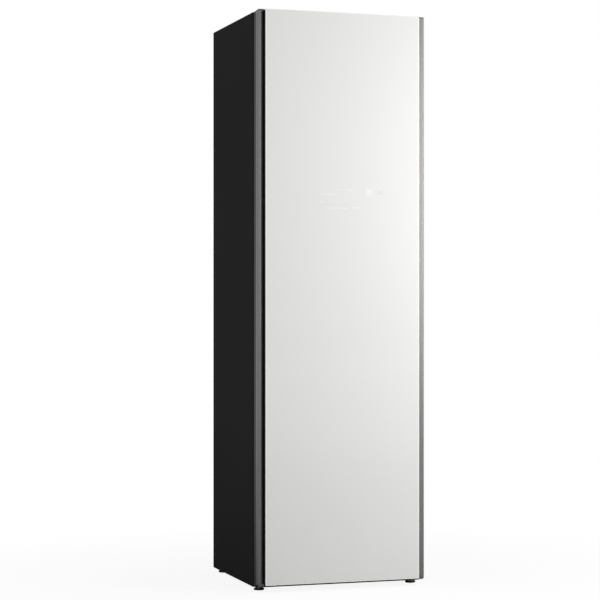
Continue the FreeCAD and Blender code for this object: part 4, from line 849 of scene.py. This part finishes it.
# %% Hanger bar
BAR, NECK, NECK_HALF, SLOPE, CHAMFER = 8 * MM, 6.5 * MM, 4 * MM, 0.8 * MM, 1 * MM
ARM_OUT, ARM_THICK, ARM_WIDE, ARM_ROUND = 112.5 * MM, 6 * MM, 24 * MM, 1.2 * MM
low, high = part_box("hanger_bar")
centre_y = (low.y + high.y) / 2
bar_z = low.z + BAR
outline = [(0, low.x), (BAR - CHAMFER, low.x), (BAR, low.x + CHAMFER)]
for place in (-150, -75, 0, 75, 150):
    start, end = place * MM - NECK_HALF, place * MM + NECK_HALF
    outline += [(BAR, start - SLOPE), (NECK, start), (NECK, end), (BAR, end + SLOPE)]
outline += [(BAR, high.x - CHAMFER), (BAR - CHAMFER, high.x), (0, high.x)]
bm = bmesh.new()
spun(bm, outline, Vector((0, centre_y, bar_z)), axis=ACROSS)
for side in (-1, 1):
    arm = box_in(
        bm,
        (side * ARM_OUT - ARM_THICK / 2, centre_y - ARM_WIDE / 2, bar_z),
        (side * ARM_OUT + ARM_THICK / 2, centre_y + ARM_WIDE / 2, high.z),
    )
    rounded(bm, edges_of(arm, running("z")), ARM_ROUND)
piece(bm, "hanger_bar_turned", "hanger_rail", "steel", ["hanger_bar"])

# %% [markdown]
# ## Hangers
# A good hanger has broad, sloping shoulders that keep a jacket's shape. The shoulder piece starts
# as a long box that is cut into slices. Each slice is lowered by how far out it is, and is a
# little narrower near the middle. Then the ends and the long ridges are rounded. The hook starts
# as a disc, which is pulled up to the bar's height and then swept half round the bar's axis. The
# neck, the trouser bar and its two links are plain round bars.


# %% Round bar between two points
def round_bar(bm, start, end, radius, segments=20):
    start, end = Vector(start), Vector(end)
    along = end - start
    turn = along.to_track_quat("Z", "Y").to_matrix().to_4x4()
    bmesh.ops.create_cone(
        bm,
        cap_ends=True,
        segments=segments,
        radius1=radius,
        radius2=radius,
        depth=along.length,
        matrix=Matrix.Translation((start + end) / 2) @ turn,
    )


# %% Shoulders
SHOULDER_TOP, SPAN_HALF, THICK_HALF, TALL = bar_z - 46 * MM, 200 * MM, 12 * MM, 24 * MM
DROP, ARCH, TAPER, MIDDLE_WIDTH = 62 * MM, 44 * MM, 12 * MM, 0.75
END_ROUND, RIDGE_ROUND = 3.5 * MM, 4 * MM


def add_shoulders(bm, x):
    verts = box_in(
        bm,
        (x - THICK_HALF, centre_y - SPAN_HALF, SHOULDER_TOP - TALL),
        (x + THICK_HALF, centre_y + SPAN_HALF, SHOULDER_TOP),
    )
    bmesh.ops.subdivide_edges(
        bm, edges=edges_of(verts, running("y")), cuts=15, use_grid_fill=True
    )
    for v in bm.verts:
        out = abs(v.co.y - centre_y) / SPAN_HALF
        under = v.co.z < SHOULDER_TOP - TALL / 2
        v.co.z -= DROP * out - ARCH * out * (1 - out)
        if under:
            v.co.z += TAPER * out
        v.co.x = x + (v.co.x - x) * (MIDDLE_WIDTH + (1 - MIDDLE_WIDTH) * out)
    ends = [
        e
        for e in bm.edges
        if all(abs(abs(v.co.y - centre_y) - SPAN_HALF) < SAME for v in e.verts)
    ]
    rounded(bm, ends, END_ROUND)
    ridges = [
        e
        for e in bm.edges
        if e.calc_face_angle(0) > math.radians(60)
        and abs((e.verts[1].co - e.verts[0].co).normalized().y) > 0.6
    ]
    rounded(bm, ridges, RIDGE_ROUND)


# %% Hook
REACH, WIRE, NECK_WIRE = 8.9 * MM, 2.1 * MM, 2.4 * MM
TIP_DOWN, BEND_DOWN, NECK_START = 4 * MM, 22 * MM, 20 * MM


def add_hook(bm, x):
    tip = Matrix.Translation((x, centre_y - REACH, bar_z - TIP_DOWN))
    ring = bmesh.ops.create_circle(bm, cap_ends=True, radius=WIRE, segments=14, matrix=tip)
    step = bmesh.ops.extrude_face_region(bm, geom=list(ring["verts"][0].link_faces))
    push_end(bm, step, (0, 0, TIP_DOWN))
    bmesh.ops.spin(
        bm,
        geom=[f for f in step["geom"] if isinstance(f, bmesh.types.BMFace)],
        cent=(x, centre_y, bar_z),
        axis=ACROSS,
        dvec=(0, 0, 0),
        angle=-math.pi,
        steps=18,
        use_merge=False,
        use_normal_flip=False,
        use_duplicate=False,
    )
    back, bend = centre_y + REACH, bar_z - BEND_DOWN
    round_bar(bm, (x, back, bar_z), (x, back, bend), WIRE)
    round_bar(bm, (x, back + 2 * MM, bend), (x, centre_y, bend), WIRE)
    neck_top, neck_foot = bar_z - NECK_START, SHOULDER_TOP - TALL / 2
    round_bar(bm, (x, centre_y, neck_top), (x, centre_y, neck_foot), NECK_WIRE)


# %% Hanger
ROD_DOWN, ROD_HALF, ROD = 150 * MM, 150 * MM, 4 * MM
LINK_DOWN, LINK_OUT, LINK = 104 * MM, 145 * MM, 2.5 * MM


def hanger(name, body, node, x):
    bm = bmesh.new()
    add_shoulders(bm, x)
    add_hook(bm, x)
    rod_z, link_z = bar_z - ROD_DOWN, bar_z - LINK_DOWN
    round_bar(bm, (x, centre_y - ROD_HALF, rod_z), (x, centre_y + ROD_HALF, rod_z), ROD)
    for y in (centre_y - LINK_OUT, centre_y + LINK_OUT):
        round_bar(bm, (x, y, rod_z), (x, y, link_z), LINK)
    piece(bm, name, body, "hanger_plastic", [node], sharp=50)


hanger("hanger_left_shaped", "hanger_left", "hanger_left", -75 * MM)
hanger("hanger_right_shaped", "hanger_right", "hanger_right", 75 * MM)

# %% [markdown]
# ## Water tanks
# Two tanks stand side by side behind the door. Each is a thin-walled tub with rounded corners, a
# lid over its back half and a hole in front for the hand. The tub is a box without a lid: its top
# face is inset by the wall's width and pushed down to the floor. The handhold is cut with a
# boolean, because its rounded slot doesn't follow any edge of the tub. Both tanks are built in
# the right one's place, and the left one is then mirrored.


# %% Tub and lid
WALL, FRONT_ROUND, FLOOR_ROUND, LID_START, LID_ROUND = 2.5 * MM, 5 * MM, 1.6 * MM, 68 * MM, 1 * MM


def add_tub(bm, low, high, rim):
    verts = box_in(bm, low, (high.x, high.y, rim))
    front = edges_of(verts, lambda middle, along: abs(along.z) > 0.9 and middle.y < low.y + MM)
    rounded(bm, front, FRONT_ROUND, 6)
    floor = [e for e in bm.edges if all(v.co.z < low.z + SAME for v in e.verts)]
    rounded(bm, floor, FLOOR_ROUND)
    top = max(bm.faces, key=lambda f: f.calc_center_median().z)
    bmesh.ops.inset_region(bm, faces=[top], thickness=WALL, use_even_offset=True)
    bmesh.ops.inset_region(bm, faces=[top], thickness=0, depth=low.z + WALL - rim)
    lid = box_in(bm, (low.x, low.y + LID_START, rim), high)
    rounded(bm, edges_of(lid, lambda middle, along: middle.z > rim + MM), LID_ROUND, 2)
    bmesh.ops.recalc_face_normals(bm, faces=bm.faces)


# %% Handhold cutter
HAND_HALF, HAND_FOOT, HAND_HEAD, HAND_ROUND = 45 * MM, 38 * MM, 12 * MM, 10 * MM


def add_handhold(bm, low, high, rim):
    middle = (low.x + high.x) / 2
    verts = box_in(
        bm,
        (middle - HAND_HALF, low.y - 2 * WALL, rim - HAND_FOOT),
        (middle + HAND_HALF, low.y + 6 * MM, rim - HAND_HEAD),
    )
    rounded(bm, edges_of(verts, running("y")), HAND_ROUND, 6)


# %% Tank
def tank(side, name, body, node):
    low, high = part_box("drain_tank")
    solids = {}
    for part, build in (("tub", add_tub), ("handhold", add_handhold)):
        bm = bmesh.new()
        build(bm, low, high, high.z - WALL)
        solids[part] = placed(part, mesh_of(bm, part))
    carve = solids["tub"].modifiers.new("handhold", "BOOLEAN")
    carve.operation, carve.object, carve.solver = "DIFFERENCE", solids["handhold"], "EXACT"
    bpy.context.view_layer.update()
    done = solids["tub"].evaluated_get(bpy.context.evaluated_depsgraph_get()).to_mesh()
    bm = bmesh.new()
    bm.from_mesh(done)
    for spare in solids.values():
        bpy.data.objects.remove(spare)
    piece(bm, name, body, "tank_plastic", [node], flip=side < 0)


tank(-1, "supply_tank_tub", "supply_tank", "supply_tank")
tank(1, "drain_tank_tub", "drain_tank", "drain_tank")

# %% [markdown]
# ## Compressor
# The compressor is a deep-drawn steel can: a straight wall with a domed lid and a weld seam round
# its middle. All of that is one outline, spun round. Its points count inwards from the seam's
# radius and upwards from the can's base or from the seam, in millimetres. It stands on three
# round feet.

# %% Outline of the can
SKIN_IN, SEAM_HIGH, DOME = 1.2, 78, 26
BOTTOM = ((6, 0), (2, 2), (SKIN_IN, 6))
SEAM = ((SKIN_IN, -2.5), (0, -1.5), (0, 1.5), (SKIN_IN, 2.5))
FOOT_HIGH, FOOT_IN, FOOT_RADIUS = 18 * MM, 18 * MM, 9 * MM
low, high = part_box("compressor")
centre = Vector(((low.x + high.x) / 2, (low.y + high.y) / 2, 0))
radius = (high.x - low.x) / 2
base = low.z + FOOT_HIGH
seam = base + SEAM_HIGH * MM
outline = [(0, base)]
outline += [(radius - inward * MM, base + up * MM) for inward, up in BOTTOM]
outline += [(radius - inward * MM, seam + up * MM) for inward, up in SEAM]
for k in range(9):
    turn = math.pi / 2 * k / 8
    inward, down = SKIN_IN + DOME * (1 - math.cos(turn)), DOME * (1 - math.sin(turn))
    outline.append((radius - inward * MM, high.z - down * MM))
outline.append((0, high.z))

# %% Compressor
bm = bmesh.new()
spun(bm, outline, centre, steps=56)
for k in range(3):
    turn = 2 * math.pi * k / 3
    foot = centre + Vector((math.cos(turn), math.sin(turn), 0)) * (radius - FOOT_IN)
    round_bar(bm, foot + Vector((0, 0, low.z)), foot + Vector((0, 0, base)), FOOT_RADIUS, 24)
piece(bm, "compressor_can", "cabinet", "motor_black", ["compressor"])

# %% [markdown]
# ## The pieces that keep their measured shape
# Everything else keeps its measured mesh and only gets a finish. Each node's slot in the record
# says which finish it is.

# %% Finishes for the measured pieces
for name, node in frame["nodes"].items():
    node.data.materials.clear()
    node.data.materials.append(FINISHES[slot_of[name]])
print("finished", len(frame["nodes"]), "measured pieces")

# %% [markdown]
# ## Studio
# The cabinet stands on a white floor that runs into a white background. The white behind the
# object has to come from those surfaces and not from more light, or the pale door would burn out.
# For the camera the floor is mostly plain white, mixed with a real surface that takes a soft
# shadow. For all other rays it is a mid grey, so that it throws little light back at the door,
# whose foot is darker than its head. Only in a mirror does it turn white farther out, where a
# studio's floor runs into its white wall.

# %% Floor
bm = bmesh.new()
bmesh.ops.create_grid(bm, x_segments=1, y_segments=1, size=30)
floor = placed("studio_floor", mesh_of(bm, "studio_floor"))

# %% White floor finish
ground = Finish("studio_white")
seen = ground.node("ShaderNodeLightPath", output="Is Camera Ray")
glow = ground.node("ShaderNodeEmission", {}, {"Color": (1, 1, 1, 1), "Strength": 1.0})
shade = ground.mix(seen, tint(160, 160, 160), tint(252, 252, 252))
matt = ground.node("ShaderNodeBsdfDiffuse", {}, {"Color": shade})
reach = ground.node("ShaderNodeVectorMath", {"operation": "LENGTH"}, {0: ground.place}, "Value")
far = ground.above(reach * 0.5, 0.3, 0.85)
mirrored = ground.node("ShaderNodeLightPath", output="Is Glossy Ray")
open_floor = ground.above(reach * 0.1, 0.08, 0.8)
share = seen * (0.9 + 0.1 * far) + mirrored * open_floor
blend = ground.node("ShaderNodeMixShader", {}, {0: share, 1: matt, 2: glow})
ground.close(blend)
floor.data.materials.append(ground.material)
print(floor.name, "in", ground.material.name)

# %% [markdown]
# The background is white to the camera, and would be through clear glass too. As a light on the
# cabinet it is only half as strong. Polished surfaces see it a little brighter than that, because
# a studio's white walls show in them.

# %% Background
walls = Finish("studio", "worlds")
bpy.context.scene.world = walls.material


def white(strength):
    return walls.node("ShaderNodeBackground", {}, {"Color": (1, 1, 1, 1), "Strength": strength})


layers = white(0.5)
for ray, strength in (
    ("Is Glossy Ray", 0.7),
    ("Is Camera Ray", 1.0),
    ("Is Transmission Ray", 1.0),
):
    which = walls.node("ShaderNodeLightPath", output=ray)
    layers = walls.node("ShaderNodeMixShader", {}, {0: which, 1: layers, 2: white(strength)})
walls.close(layers, "ShaderNodeOutputWorld")
print("background", walls.material.name, len(walls.tree.nodes), "nodes")

# %% [markdown]
# Three lamps light the cabinet. One large soft lamp stands on the right, so the door is a little
# brighter there and falls off towards its foot. A narrow strip near the right trim gives the
# brushed metal its highlight. A weak lamp on the left keeps the dark side readable.


# %% Lamps
def lamp_panel(name, place, aim, size, power):
    data = bpy.data.lights.new(name, "AREA")
    data.shape, data.size, data.size_y, data.energy = "RECTANGLE", size[0], size[1], power
    made = placed(name, data)
    made.location = place
    made.rotation_euler = (Vector(aim) - Vector(place)).to_track_quat("-Z", "Y").to_euler()
    made.visible_camera = False
    print(name, power, "watts")


lamp_panel("key", (2.65, -2.3, 1.6), (0.2, -0.3, 1.6), (1.4, 1.8), 64)
lamp_panel("strip", (0.9, -1.3, 1.4), (0.28, -0.29, 1.35), (0.2, 1.1), 6.2)
lamp_panel("fill", (-3.1, -2.9, 1.7), (0, -0.3, 1.6), (1.4, 2.0), 12.5)

# %% [markdown]
# ## Camera
# The camera stands about six and a half metres away, a little to the left, at half the cabinet's
# height. It looks level, so upright edges stay upright, and the lens shift centres the cabinet.

# %% Camera
lens = bpy.data.cameras.new("camera")
lens.lens, lens.sensor_width, lens.shift_x, lens.shift_y = 116.8, 36, -0.12, 0.0113
camera = placed("camera", lens)
camera.location = (-2.0885, -6.5752, 0.9601)
camera.rotation_euler = (math.pi / 2, 0, math.radians(-19.243))
bpy.context.scene.camera = camera
bpy.context.scene.view_settings.view_transform = "Standard"
print("camera at", [round(v, 3) for v in camera.location])
